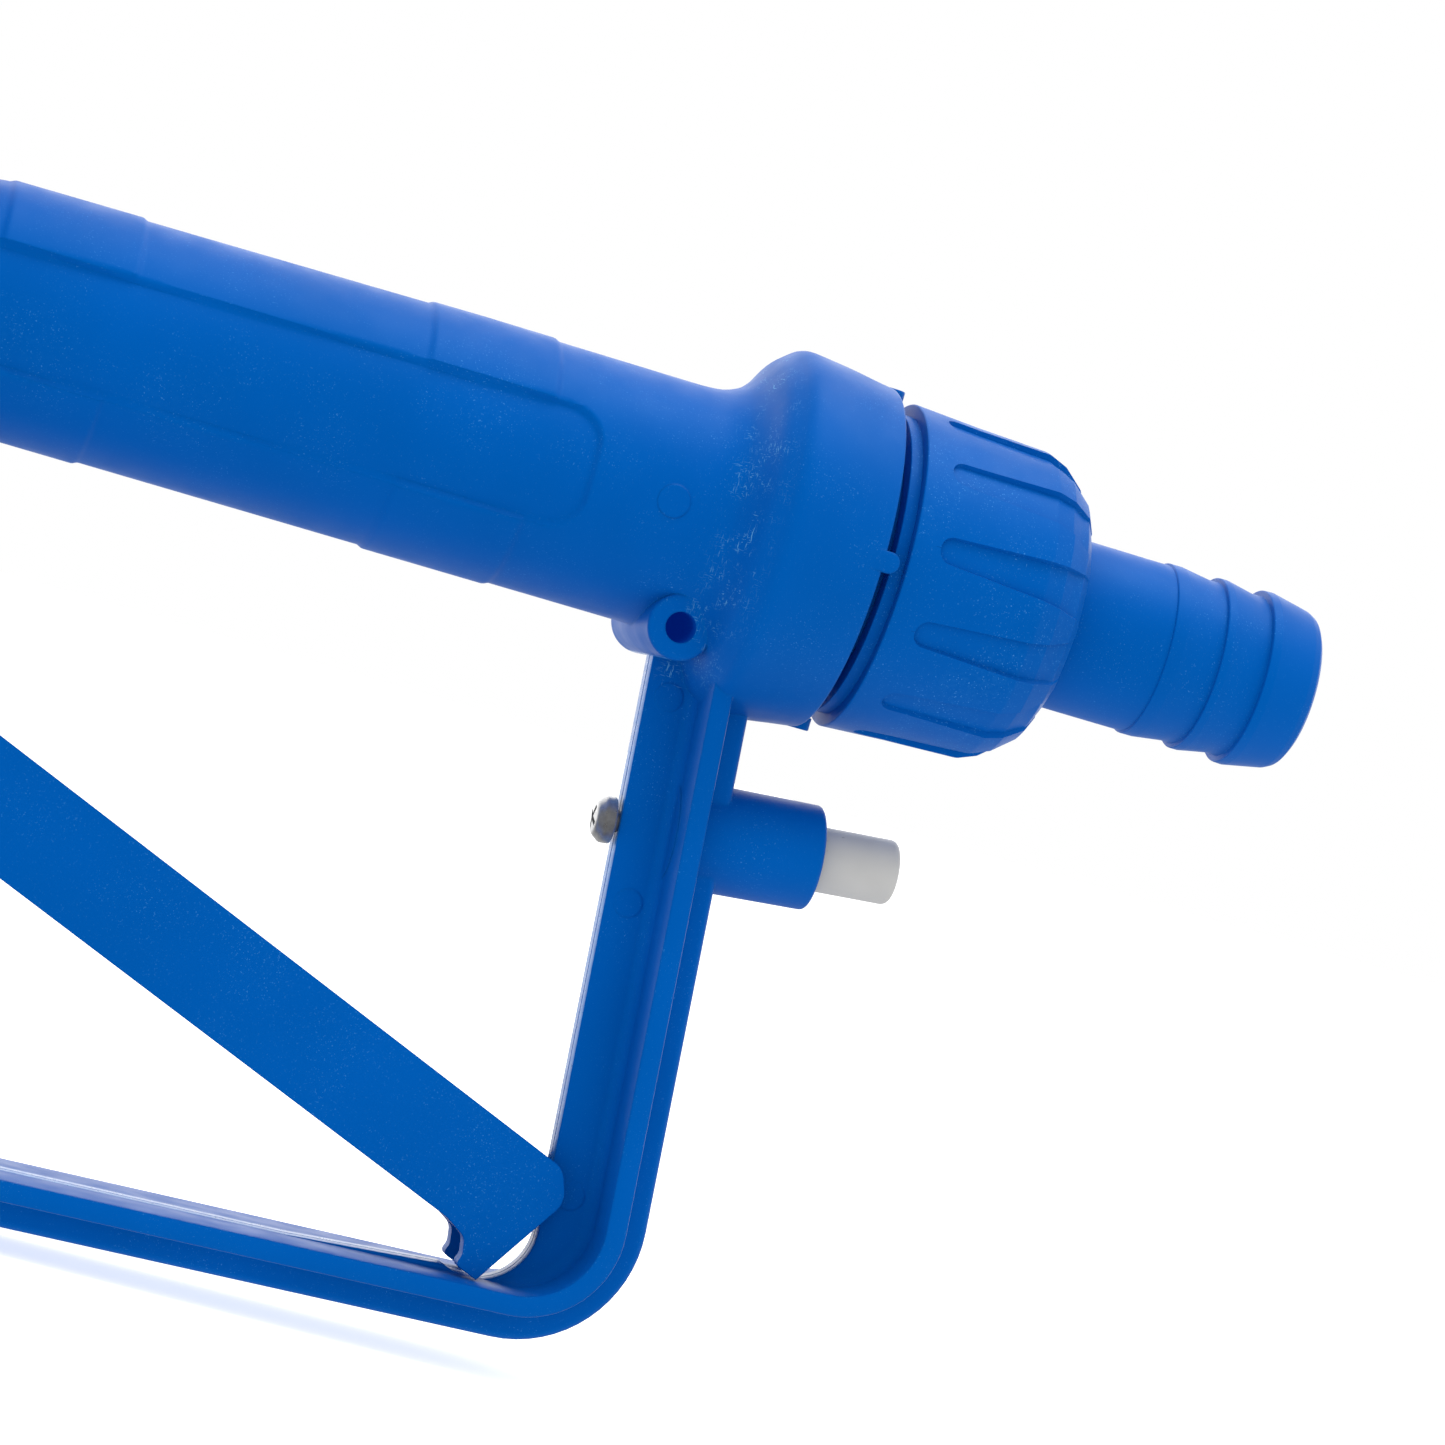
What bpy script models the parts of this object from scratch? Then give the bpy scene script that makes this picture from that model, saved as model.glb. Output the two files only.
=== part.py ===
"""Hand-held dispensing nozzle in moulded plastic: body with trigger guard, poppet valve,
trigger with hold-open latch, bent spout, and an inlet nut with a barbed hose tail.

Sizes are in millimetres, measured from the rear rim of the body's flange: +X runs along
the grip towards the hose, +Z is up, and the spout points to -X. Every mesh is made in
metres under one empty, which puts the centre of the whole nozzle at the world origin.
"""

from math import atan2, cos, pi, radians, sin, tan

import bmesh
import bpy
from mathutils import Matrix, Vector

MM = 0.001
GAP = 0.3                      # between pieces that rest on each other
RIM_FROM_CENTRE = (125.095, 0.0, 36.321)

# Grip and flange
GRIP_R = 14.1
BAND_R = 14.35
BANDS = ((-39.3, -54.0), (-87.0, -102.0))
BORE_R = 9.0
RIM_X = -0.5
RIM_R = 20.0
THREAD_R = 15.0
THREAD_END_X = 14.0
NUB_R = 1.2
NUB_END_X = 0.7
NUT_FLUTES = 12
NUT_FLUTE_PHASE = radians(10.1)
FLUTE_START_X = 7.0
FLUTE_END_X = 28.0

# Valve housing
VALVE_X = -126.0
HOUSING_R = 18.0
HOUSING_TOP = 19.0
HOUSING_WAIST_R = 14.0
HOUSING_BOTTOM = -36.0
GLAND_BOSS_R = 9.5
GLAND_BOSS_BOTTOM = -39.3
CHAMBER_R = 13.5
SEAT_TOP = -9.5
SEAT_HOLE_R = 7.0
OUTLET_Z = -21.5
OUTLET_R = 8.0
OUTLET_BACK_X = -117.0
SHOULDER_R = 13.2
SHOULDER_X = -149.0
SPOUT_THREAD_R = 11.0
SPOUT_THREAD_END_X = -156.0
STEM_HOLE_R = 2.75
GLAND_POCKET_R = 6.3
GLAND_POCKET_TOP = -32.3

# Trigger guard: rib, outer band and web, as distances outward from the rib's outer face
LEG_POINT = Vector((-10.5, -18.0))
LEG_LEAN = radians(5.0)
BAR_POINT = Vector((-51.0, -93.1))
BAR_SLOPE = radians(1.9)
FRONT_POINT = Vector((-160.0, -90.0))
FRONT_LEAN = radians(15.8)
LEG_TOP = -9.0
FRONT_TOP = -27.0
REAR_CORNER_R = 11.0
FRONT_CORNER_R = 14.0
RIB_THICKNESS = 2.4
RIB_HALF_WIDTH = 10.0
BAND_HEIGHT = 3.5
BAND_HALF_WIDTH = 4.5
WEB_HEIGHT = 5.8
WEB_HALF_WIDTH = 1.5
WEB_FILLET = 6.5

# Hanging eye under the grip
EYE_X = -18.56
EYE_Z = -13.07
EYE_R = 3.75
EYE_HOLE_R = 1.75
EYE_HALF_LENGTH = 10.9

# Pivot ears and trigger
PIVOT = Vector((-140.0, -59.0))
PIN_R = 3.0
PIN_HALF_LENGTH = 11.2
EAR_INNER = 6.0
EAR_OUTER = 9.5
EAR_R = 8.4
TRIGGER_HALF_WIDTH = 5.5
TRIGGER_EYE_R = 7.2
PAD_TOP = -56.3
FORK_HALF_WIDTH = 3.1
FORK_FLOOR_X = -21.4

# Hold-open latch, measured along its own axis from the boss's end face
LATCH_FACE = Vector((5.9, 0.0, -33.85))
LATCH_TILT = radians(5.0)
LATCH_BOSS_R = 6.05
LATCH_BOSS_LENGTH = 16.8
LATCH_BORE_R = 4.0
LATCH_BORE_DEPTH = 13.5
BUTTON_R = 3.75
BUTTON_OUT = 9.6
BUTTON_IN = -6.0
SCREW_HOLE_R = 1.3
SCREW_R = 1.2
SCREW_TIP = -1.0
SCREW_HEAD_R = 2.75
SCREW_HEAD_SEAT = -23.7
SCREW_HEAD_HEIGHT = 2.4

# Spout
SPOUT_R = 9.5
SPOUT_BORE_R = 8.0
SPOUT_BEND_X = -215.0
SPOUT_BEND_R = 90.0
SPOUT_BEND = radians(32.0)
SPOUT_TIP_LENGTH = 45.0
COLLAR_THICKNESS = 3.0
SPOUT_NUT_FLUTES = 10
SPOUT_FLUTE_START_X = -152.0
SPOUT_FLUTE_END_X = -167.0
GASKET_THICKNESS = 1.8

# Colours as linear red, green, blue
BLUE = (0.004, 0.105, 0.462)
WHITE = (0.62, 0.62, 0.60)
STEEL = (0.55, 0.55, 0.54)
RUBBER = (0.015, 0.015, 0.016)


def clear_scene():
    for obj in list(bpy.data.objects):
        bpy.data.objects.remove(obj)


def new_collection(name):
    collection = bpy.data.collections.new(name)
    bpy.context.scene.collection.children.link(collection)
    return collection


def place(obj, collection):
    """Puts an object in its collection, under the empty that holds the nozzle's frame."""
    collection.objects.link(obj)
    obj.parent = RIM
    return obj


def tool(obj):
    """Makes an object a cutter or a shape that is joined into another."""
    TOOLS.objects.link(obj)
    NOZZLE.objects.unlink(obj)
    obj.hide_render = True
    obj.display_type = "WIRE"
    return obj


def combine(target, other, operation):
    modifier = target.modifiers.new(other.name, "BOOLEAN")
    modifier.operation = operation
    modifier.object = tool(other)


def combine_all(target, name, others, operation):
    """Joins or cuts with several shapes in one step."""
    group = bpy.data.collections.new(name)
    TOOLS.children.link(group)
    for other in others:
        tool(other)
        TOOLS.objects.unlink(other)
        group.objects.link(other)
    modifier = target.modifiers.new(name, "BOOLEAN")
    modifier.operation = operation
    modifier.operand_type = "COLLECTION"
    modifier.collection = group
    return modifier


def smooth(mesh):
    mesh.shade_smooth()
    mesh.set_sharp_from_angle(angle=radians(30))


def paint(obj, colour, roughness, metallic=0.0):
    material = bpy.data.materials.new(obj.name)
    material.use_nodes = True
    shader = material.node_tree.nodes["Principled BSDF"]
    shader.inputs["Base Color"].default_value = (*colour, 1.0)
    shader.inputs["Roughness"].default_value = roughness
    shader.inputs["Metallic"].default_value = metallic
    material.diffuse_color = (*colour, 1.0)
    obj.data.materials.append(material)
    return obj


def turned(name, profile, hollow=False, along="X", centre=(0.0, 0.0, 0.0), steps=32):
    """Turns a profile of (place along the axis, radius), outer side from the high end down."""
    mesh = bpy.data.meshes.new(name)
    points = [(radius * MM, 0.0, place_on_axis * MM) for place_on_axis, radius in profile]
    edges = [(index, index + 1) for index in range(len(points) - 1)]
    if hollow:
        edges.append((len(points) - 1, 0))
    mesh.from_pydata(points, edges, [])
    obj = bpy.data.objects.new(name, mesh)
    obj.location = Vector(centre) * MM
    if along == "X":
        obj.rotation_euler = (0.0, pi / 2, 0.0)
    screw = obj.modifiers.new("turn", "SCREW")
    screw.steps = steps
    screw.render_steps = steps
    screw.use_merge_vertices = True
    screw.merge_threshold = 0.00001
    screw.use_smooth_shade = False
    return place(obj, NOZZLE)


def rod(name, radius, start, end, segments=32, origin=None, end_radius=None):
    """A round bar, or a cone, from one point to another."""
    start = Vector(start)
    end = Vector(end)
    origin = start if origin is None else Vector(origin)
    way = end - start
    shape = bmesh.new()
    bmesh.ops.create_cone(shape, cap_ends=True, segments=segments, radius1=radius * MM,
                          radius2=(radius if end_radius is None else end_radius) * MM,
                          depth=way.length * MM)
    turn = way.to_track_quat("Z", "Y").to_matrix().to_4x4()
    shift = Matrix.Translation(((start + end) / 2 - origin) * MM)
    bmesh.ops.transform(shape, matrix=shift @ turn, verts=shape.verts)
    mesh = bpy.data.meshes.new(name)
    shape.to_mesh(mesh)
    shape.free()
    smooth(mesh)
    obj = bpy.data.objects.new(name, mesh)
    obj.location = origin * MM
    return place(obj, NOZZLE)


def block(name, low, high):
    """A box between two corners."""
    low = Vector(low)
    high = Vector(high)
    shape = bmesh.new()
    bmesh.ops.create_cube(shape, size=1.0)
    bmesh.ops.scale(shape, vec=(high - low) * MM, verts=shape.verts)
    mesh = bpy.data.meshes.new(name)
    shape.to_mesh(mesh)
    shape.free()
    obj = bpy.data.objects.new(name, mesh)
    obj.location = (low + high) / 2 * MM
    return place(obj, NOZZLE)


def ring(name, major, minor, centre):
    """A round-section ring lying flat."""
    bpy.ops.mesh.primitive_torus_add(major_radius=major * MM, minor_radius=minor * MM,
                                     major_segments=20, minor_segments=6)
    obj = bpy.context.object
    obj.name = name
    obj.data.name = name
    obj.location = Vector(centre) * MM
    for collection in list(obj.users_collection):
        collection.objects.unlink(obj)
    smooth(obj.data)
    return place(obj, NOZZLE)


def mesh_from_curve(obj):
    """Turns a curve object into a closed mesh object in the same place."""
    bpy.context.scene.collection.objects.link(obj)
    evaluated = obj.evaluated_get(bpy.context.evaluated_depsgraph_get())
    mesh = bpy.data.meshes.new_from_object(evaluated)
    shape = bmesh.new()
    shape.from_mesh(mesh)
    bmesh.ops.remove_doubles(shape, verts=shape.verts, dist=0.000001)
    bmesh.ops.recalc_face_normals(shape, faces=shape.faces)
    shape.to_mesh(mesh)
    shape.free()
    name = obj.name
    matrix = obj.matrix_world.copy()
    bpy.data.objects.remove(obj)
    solid = bpy.data.objects.new(name, mesh)
    solid.matrix_world = matrix
    return place(solid, NOZZLE)


def poly_curve(name, points, dimensions="3D"):
    curve = bpy.data.curves.new(name, "CURVE")
    curve.dimensions = dimensions
    spline = curve.splines.new("POLY")
    spline.points.add(len(points) - 1)
    for spot, point in zip(spline.points, points):
        spot.co = (*(Vector(point).to_3d() * MM), 1.0)
    return curve


def plate(name, outline, low_y, high_y, origin=(0.0, 0.0)):
    """A flat piece: an outline in the XZ plane, from one Y to another."""
    origin = Vector(origin)
    curve = poly_curve(name, [point - origin for point in outline], "2D")
    curve.splines[0].use_cyclic_u = True
    curve.fill_mode = "BOTH"
    curve.extrude = (high_y - low_y) / 2 * MM
    obj = bpy.data.objects.new(name, curve)
    obj.location = Vector((origin.x, (low_y + high_y) / 2, origin.y)) * MM
    obj.rotation_euler = (pi / 2, 0.0, 0.0)
    return mesh_from_curve(obj)


def tube(name, points, radius, bevel_resolution):
    curve = poly_curve(name, points)
    curve.bevel_depth = radius * MM
    curve.bevel_resolution = bevel_resolution
    curve.use_fill_caps = True
    return bpy.data.objects.new(name, curve)


def coil(name, radius, wire_r, length, turns, place_of):
    """A compression spring; place_of maps (across, across, along) into the nozzle."""
    points_per_turn = 10
    count = int(turns * points_per_turn)
    pitch_run = length - 2 * wire_r
    points = []
    for index in range(count + 1):
        angle = 2 * pi * index / points_per_turn
        along = wire_r + pitch_run * index / count
        points.append(place_of(radius * cos(angle), radius * sin(angle), along))
    return place(tube(name, points, wire_r, 2), NOZZLE)


def rounded(corners, segments=6):
    """An outline through corners (x, z, radius), with an arc at each corner that has one."""
    outline = []
    for index, (x, z, radius) in enumerate(corners):
        here = Vector((x, z))
        if radius == 0:
            outline.append(here)
            continue
        before = (Vector(corners[index - 1][:2]) - here).normalized()
        after = (Vector(corners[(index + 1) % len(corners)][:2]) - here).normalized()
        half = before.angle(after) / 2
        centre = here + (before + after).normalized() * radius / sin(half)
        start = here + before * radius / tan(half) - centre
        end = here + after * radius / tan(half) - centre
        first = atan2(start.y, start.x)
        sweep = (atan2(end.y, end.x) - first + pi) % (2 * pi) - pi
        for step in range(segments + 1):
            angle = first + sweep * step / segments
            outline.append(centre + Vector((cos(angle), sin(angle))) * radius)
    return outline


# Guard ----------------------------------------------------------------------------------

def guard_lines(distance):
    """The rear leg, the bar and the front leg as lines, moved outward by a distance."""
    ways = (
        (LEG_POINT, Vector((sin(LEG_LEAN), -cos(LEG_LEAN)))),
        (BAR_POINT, Vector((-cos(BAR_SLOPE), -sin(BAR_SLOPE)))),
        (FRONT_POINT, Vector((sin(FRONT_LEAN), cos(FRONT_LEAN)))),
    )
    return [(point + Vector((-way.y, way.x)) * distance, way) for point, way in ways]


def meet(first, second):
    """Where two lines cross."""
    (point, way), (other_point, other_way) = first, second
    reach = (other_point - point).cross(other_way) / way.cross(other_way)
    return point + way * reach


def at_height(line, z):
    point, way = line
    return point + way * ((z - point.y) / way.y)


def guard_path(distance):
    """Corners of the guard's outline at a distance outward from the rib's outer face."""
    leg, bar, front = guard_lines(distance)
    rear_corner = meet(leg, bar)
    front_corner = meet(bar, front)
    return [
        (*at_height(leg, LEG_TOP), 0),
        (*rear_corner, REAR_CORNER_R + distance),
        (*front_corner, FRONT_CORNER_R + distance),
        (*at_height(front, FRONT_TOP), 0),
    ]


def guard_strip(name, outer, inner, half_width):
    outline = rounded(guard_path(outer) + guard_path(inner)[::-1])
    return plate(name, outline, -half_width, half_width)


def guard_web():
    """The thin inner flange of the rear leg, which fades into the bar in a fillet."""
    edge_leg = guard_lines(-RIB_THICKNESS - WEB_HEIGHT)[0]
    root_leg, root_bar, _ = guard_lines(-RIB_THICKNESS / 2)
    top_bar = guard_lines(-RIB_THICKNESS)[1]
    inner_corner = meet(edge_leg, top_bar)
    root_corner = meet(root_leg, root_bar)
    run_out = Vector((-WEB_FILLET - 2.0, 0.0))
    outline = rounded([
        (*at_height(edge_leg, LEG_TOP), 0),
        (*inner_corner, WEB_FILLET),
        (*(inner_corner + run_out), 0),
        (*(inner_corner + run_out - Vector((0.0, RIB_THICKNESS / 2))), 0),
        (*root_corner, REAR_CORNER_R - RIB_THICKNESS / 2),
        (*at_height(root_leg, LEG_TOP), 0),
    ])
    return plate("guard_web", outline, -WEB_HALF_WIDTH, WEB_HALF_WIDTH)


# Body -----------------------------------------------------------------------------------

def grip_profile():
    """The grip from the inlet thread to the valve housing."""
    profile = [
        (THREAD_END_X, 0.0), (THREAD_END_X, THREAD_R), (RIM_X, THREAD_R), (RIM_X, RIM_R),
        (-4.4, 20.6), (-9.5, 21.2), (-11.0, 21.3), (-12.9, 20.4), (-14.3, 19.1),
        (-15.5, 17.1), (-16.4, 16.0), (-17.4, 15.1), (-19.3, 14.3), (-21.9, GRIP_R),
    ]
    for rear, front in BANDS:
        profile += [(rear, GRIP_R), (rear, BAND_R), (front, BAND_R), (front, GRIP_R)]
    return profile + [(-110.0, 12.6), (VALVE_X, 12.0), (VALVE_X, 0.0)]


def latch_point(along):
    """A point on the latch's axis."""
    return LATCH_FACE + Vector((cos(LATCH_TILT), 0.0, sin(LATCH_TILT))) * along


def housing_shapes():
    housing = turned("housing_shape", [
        (HOUSING_TOP, 0.0), (HOUSING_TOP, HOUSING_R), (-8.0, HOUSING_R), (-14.0, HOUSING_WAIST_R),
        (-33.0, HOUSING_WAIST_R), (HOUSING_BOTTOM, 11.5), (HOUSING_BOTTOM, GLAND_BOSS_R),
        (GLAND_BOSS_BOTTOM, GLAND_BOSS_R), (GLAND_BOSS_BOTTOM, 0.0),
    ], along="Z", centre=(VALVE_X, 0.0, 0.0))
    outlet = turned("outlet_shape", [
        (VALVE_X, 0.0), (VALVE_X, SHOULDER_R), (SHOULDER_X, SHOULDER_R),
        (SHOULDER_X, SPOUT_THREAD_R), (SPOUT_THREAD_END_X, SPOUT_THREAD_R),
        (SPOUT_THREAD_END_X, 0.0),
    ], centre=(0.0, 0.0, OUTLET_Z))
    return [housing, outlet]


def guard_shapes():
    ear = rounded([
        (-146.5, -26.0, 0), (PIVOT.x + EAR_R, -26.0, 0),
        (PIVOT.x + EAR_R, PIVOT.y - EAR_R, EAR_R - 0.1), (-152.0, PIVOT.y - EAR_R, 4.0),
        (-151.6, -60.0, 0),
    ])
    return [
        guard_strip("guard_rib", 0.0, -RIB_THICKNESS, RIB_HALF_WIDTH),
        guard_strip("guard_band", BAND_HEIGHT, -RIB_THICKNESS / 2, BAND_HALF_WIDTH),
        guard_web(),
        plate("ear_near", ear, -EAR_OUTER, -EAR_INNER),
        plate("ear_far", ear, EAR_INNER, EAR_OUTER),
    ]


def boss_shapes():
    shapes = [
        rod("eye_boss", EYE_R, (EYE_X, -EYE_HALF_LENGTH, EYE_Z), (EYE_X, EYE_HALF_LENGTH, EYE_Z)),
        rod("latch_boss", LATCH_BOSS_R, latch_point(-LATCH_BOSS_LENGTH), latch_point(0.0)),
    ]
    for quarter in range(4):
        angle = quarter * pi / 2
        across = Vector((0.0, cos(angle), sin(angle))) * (RIM_R + 0.4)
        shapes.append(rod(f"nub_{quarter}", NUB_R, across + Vector((RIM_X - 5.0, 0.0, 0.0)),
                          across + Vector((NUB_END_X, 0.0, 0.0)), segments=12))
    return shapes


def bores():
    return [
        rod("inlet_bore", BORE_R, (THREAD_END_X + 1, 0, 0), (VALVE_X, 0, 0)),
        rod("chamber", CHAMBER_R, (VALVE_X, 0, HOUSING_TOP + 1), (VALVE_X, 0, SEAT_TOP)),
        rod("seat_hole", SEAT_HOLE_R, (VALVE_X, 0, SEAT_TOP + 1), (VALVE_X, 0, OUTLET_Z)),
        rod("outlet_bore", OUTLET_R, (SPOUT_THREAD_END_X - 1, 0, OUTLET_Z),
            (OUTLET_BACK_X, 0, OUTLET_Z)),
        rod("stem_hole", STEM_HOLE_R, (VALVE_X, 0, OUTLET_Z), (VALVE_X, 0, -34.0), 24),
        rod("gland_pocket", GLAND_POCKET_R, (VALVE_X, 0, GLAND_BOSS_BOTTOM - 1),
            (VALVE_X, 0, GLAND_POCKET_TOP), 24),
        rod("pivot_hole", PIN_R + 0.1, (PIVOT.x, -12, PIVOT.y), (PIVOT.x, 12, PIVOT.y), 24),
        rod("eye_hole", EYE_HOLE_R, (EYE_X, -12, EYE_Z), (EYE_X, 12, EYE_Z), 24),
        rod("latch_bore", LATCH_BORE_R, latch_point(1.0), latch_point(-LATCH_BORE_DEPTH), 24),
        rod("screw_hole", SCREW_HOLE_R, latch_point(-10.0), latch_point(-32.0), 16),
    ]


def make_body():
    body = turned("body", grip_profile())
    combine_all(body, "body_shapes", housing_shapes() + guard_shapes() + boss_shapes(), "UNION")
    cut = combine_all(body, "body_bores", bores(), "DIFFERENCE")
    cut.solver = "MANIFOLD"
    return paint(body, BLUE, 0.45)


# Inlet ----------------------------------------------------------------------------------

def make_inlet_nut():
    nut = turned("inlet_nut", [
        (24.9, 10.4), (24.9, 13.1), (23.7, 15.3), (21.1, 17.4), (19.0, 18.25), (10.0, 18.65),
        (2.5, 19.1), (2.5, 17.8), (1.7, 17.8), (1.7, 19.0), (1.0, 19.0), (1.0, 15.4),
        (19.3, 15.4), (19.3, 10.4),
    ], hollow=True)
    flutes = []
    for index in range(NUT_FLUTES):
        angle = NUT_FLUTE_PHASE + 2 * pi * index / NUT_FLUTES
        way = Vector((0.0, -cos(angle), sin(angle)))
        flutes.append(rod(f"flute_{index}", 2.2, way * 20.2 + Vector((FLUTE_START_X, 0.0, 0.0)),
                          way * 18.6 + Vector((FLUTE_END_X, 0.0, 0.0)), 8, end_radius=2.6))
    combine_all(nut, "nut_flutes", flutes, "DIFFERENCE")
    return paint(nut, BLUE, 0.45)


def make_hose_tail():
    tail = turned("hose_tail", [
        (55.7, 7.4), (55.7, 8.2), (55.2, 9.0), (54.3, 9.5), (49.8, 10.35), (48.8, 10.35),
        (48.7, 9.6), (47.4, 9.6), (44.1, 10.25), (43.2, 10.25), (43.1, 9.7), (41.9, 9.7),
        (38.4, 10.2), (36.9, 10.2), (36.8, 9.95), (19.0, 9.95), (19.0, 14.6), (16.4, 14.6),
        (16.4, 7.4),
    ], hollow=True)
    return paint(tail, BLUE, 0.45)


def make_washer(name, low_x, high_x, inner, outer, z=0.0):
    washer = turned(name, [(high_x, inner), (high_x, outer), (low_x, outer), (low_x, inner)],
                    hollow=True, centre=(0.0, 0.0, z))
    return paint(washer, RUBBER, 0.7)


# Trigger --------------------------------------------------------------------------------

def make_trigger():
    outline = rounded([
        (-19.0, -72.7, 2.5), (-91.5, -43.3, 9.0), (-111.0, PAD_TOP, 8.0), (-140.0, PAD_TOP, 0),
        (-140.0, -65.6, 0), (-110.0, -65.6, 8.0),
        (-91.0, -56.9, 9.0), (-24.9, -83.3, 1.6), (-23.2, -85.7, 1.0), (-23.9, -87.6, 0.6),
        (-19.3, -89.2, 0.6), (-12.5, -77.8, 2.4), (-13.6, -74.6, 1.5),
    ], segments=4)
    trigger = plate("trigger", outline, -TRIGGER_HALF_WIDTH, TRIGGER_HALF_WIDTH, PIVOT)
    half = TRIGGER_HALF_WIDTH
    eye = rod("trigger_eye", TRIGGER_EYE_R, (PIVOT.x, -half - 0.1, PIVOT.y),
              (PIVOT.x, half + 0.1, PIVOT.y))
    combine(trigger, eye, "UNION")
    hole = rod("trigger_hole", PIN_R + 0.1, (PIVOT.x, -8, PIVOT.y), (PIVOT.x, 8, PIVOT.y), 24)
    combine(trigger, hole, "DIFFERENCE")
    fork = block("fork_slot", (FORK_FLOOR_X, -FORK_HALF_WIDTH, -95.0),
                 (-5.0, FORK_HALF_WIDTH, -65.0))
    combine(trigger, fork, "DIFFERENCE")
    return paint(trigger, BLUE, 0.45)


def make_pivot_pin():
    head = 1.6
    pin = turned("trigger_pin", [
        (PIN_HALF_LENGTH, 0.0), (PIN_HALF_LENGTH, PIN_R - 0.4), (PIN_HALF_LENGTH - 0.4, PIN_R),
        (-EAR_OUTER - GAP, PIN_R), (-EAR_OUTER - GAP, PIN_R + 1.8),
        (-EAR_OUTER - GAP - head, PIN_R + 1.8), (-EAR_OUTER - GAP - head, 0.0),
    ], along="Z", centre=(PIVOT.x, 0.0, PIVOT.y), steps=24)
    pin.rotation_euler = (-pi / 2, 0.0, 0.0)
    paint(pin, STEEL, 0.3, 1.0)
    clip = turned("trigger_pin_clip", [
        (0.45, PIN_R + 0.1), (0.45, PIN_R + 1.8), (-0.45, PIN_R + 1.8), (-0.45, PIN_R + 0.1),
    ], hollow=True, along="Z", centre=(PIVOT.x, EAR_OUTER + 0.85, PIVOT.y), steps=24)
    clip.rotation_euler = (pi / 2, 0.0, 0.0)
    return pin, paint(clip, STEEL, 0.3, 1.0)


# Latch ----------------------------------------------------------------------------------

def make_latch():
    button = rod("latch_button", BUTTON_R, latch_point(BUTTON_IN), latch_point(BUTTON_OUT), 24)
    bevel = button.modifiers.new("edge", "BEVEL")
    bevel.width = 0.8 * MM
    bevel.segments = 2
    bevel.angle_limit = radians(60)
    hole = rod("button_hole", SCREW_HOLE_R, latch_point(BUTTON_IN - 1), latch_point(-0.6), 16)
    combine(button, hole, "DIFFERENCE")
    paint(button, WHITE, 0.4)
    screw = rod("latch_screw", SCREW_R, latch_point(SCREW_HEAD_SEAT - 1.0),
                latch_point(SCREW_TIP), 16)
    head = rod("screw_head", SCREW_HEAD_R, latch_point(SCREW_HEAD_SEAT),
               latch_point(SCREW_HEAD_SEAT - SCREW_HEAD_HEIGHT), 24, end_radius=1.7)
    combine(screw, head, "UNION")
    paint(screw, STEEL, 0.3, 1.0)
    turn = Vector((cos(LATCH_TILT), 0.0, sin(LATCH_TILT)))
    side = Vector((-sin(LATCH_TILT), 0.0, cos(LATCH_TILT)))
    start = -LATCH_BORE_DEPTH + GAP
    spring = coil("latch_spring", 2.5, 0.35, BUTTON_IN - GAP - start, 3.0,
                  lambda a, b, s: LATCH_FACE + turn * (start + s) + side * b
                  + Vector((0.0, a, 0.0)))
    paint(spring, STEEL, 0.3, 1.0)


# Valve ----------------------------------------------------------------------------------

def upright(name, profile, hollow=False, steps=24):
    return turned(name, profile, hollow, "Z", (VALVE_X, 0.0, 0.0), steps)


def make_valve():
    stem = upright("valve_stem", [(-5.0, 0.0), (-5.0, 2.1), (-5.4, 2.5), (-53.3, 2.5), (-53.3, 0.0)])
    paint(stem, STEEL, 0.3, 1.0)
    foot = upright("stem_foot", [(-53.6, 0.0), (-53.6, 2.6), (-51.5, 2.6), (-51.5, 4.0),
                                 (-52.4, 4.0), (-53.9, 3.5), (-55.0, 2.6), (-55.7, 1.6),
                                 (-56.0, 0.7), (-56.0, 0.0)])
    paint(foot, WHITE, 0.4)
    seal = upright("poppet_seal", [(-7.2, 2.7), (-7.2, 9.8), (-9.2, 9.8), (-9.2, 2.7)], True)
    paint(seal, RUBBER, 0.7)
    poppet = upright("valve_poppet", [(0.0, 0.0), (0.0, 3.8), (-0.8, 4.6), (-4.4, 4.6),
                                      (-4.4, 10.3), (-6.9, 10.3), (-6.9, 2.7), (-4.7, 2.7),
                                      (-4.7, 0.0)])
    paint(poppet, WHITE, 0.4)
    nut = upright("poppet_nut", [(-9.5, 2.95), (-9.5, 5.4), (-12.6, 5.4), (-12.6, 2.95)], True, 6)
    paint(nut, STEEL, 0.3, 1.0)
    spring = coil("valve_spring", 6.3, 0.6, 17.8, 6.0,
                  lambda a, b, s: Vector((VALVE_X + a, b, -4.1 + s)))
    paint(spring, STEEL, 0.3, 1.0)


def make_valve_cap():
    cap = upright("valve_cap", [
        (27.0, 0.0), (27.0, 14.5), (26.0, 16.5), (24.5, 17.6), (HOUSING_TOP + GAP, HOUSING_R),
        (HOUSING_TOP + GAP, 13.2), (17.1, 13.2), (17.1, 11.3), (14.5, 11.3), (14.5, 13.2),
        (9.0, 13.2), (9.0, 7.4), (14.0, 7.4), (14.0, 0.0),
    ], steps=32)
    slot = block("cap_slot", (VALVE_X - 10, -1.5, 24.0), (VALVE_X + 10, 1.5, 29.0))
    combine(cap, slot, "DIFFERENCE")
    paint(cap, BLUE, 0.45)
    paint(ring("cap_o_ring", 12.4, 0.85, (VALVE_X, 0.0, 15.8)), RUBBER, 0.7)


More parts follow.
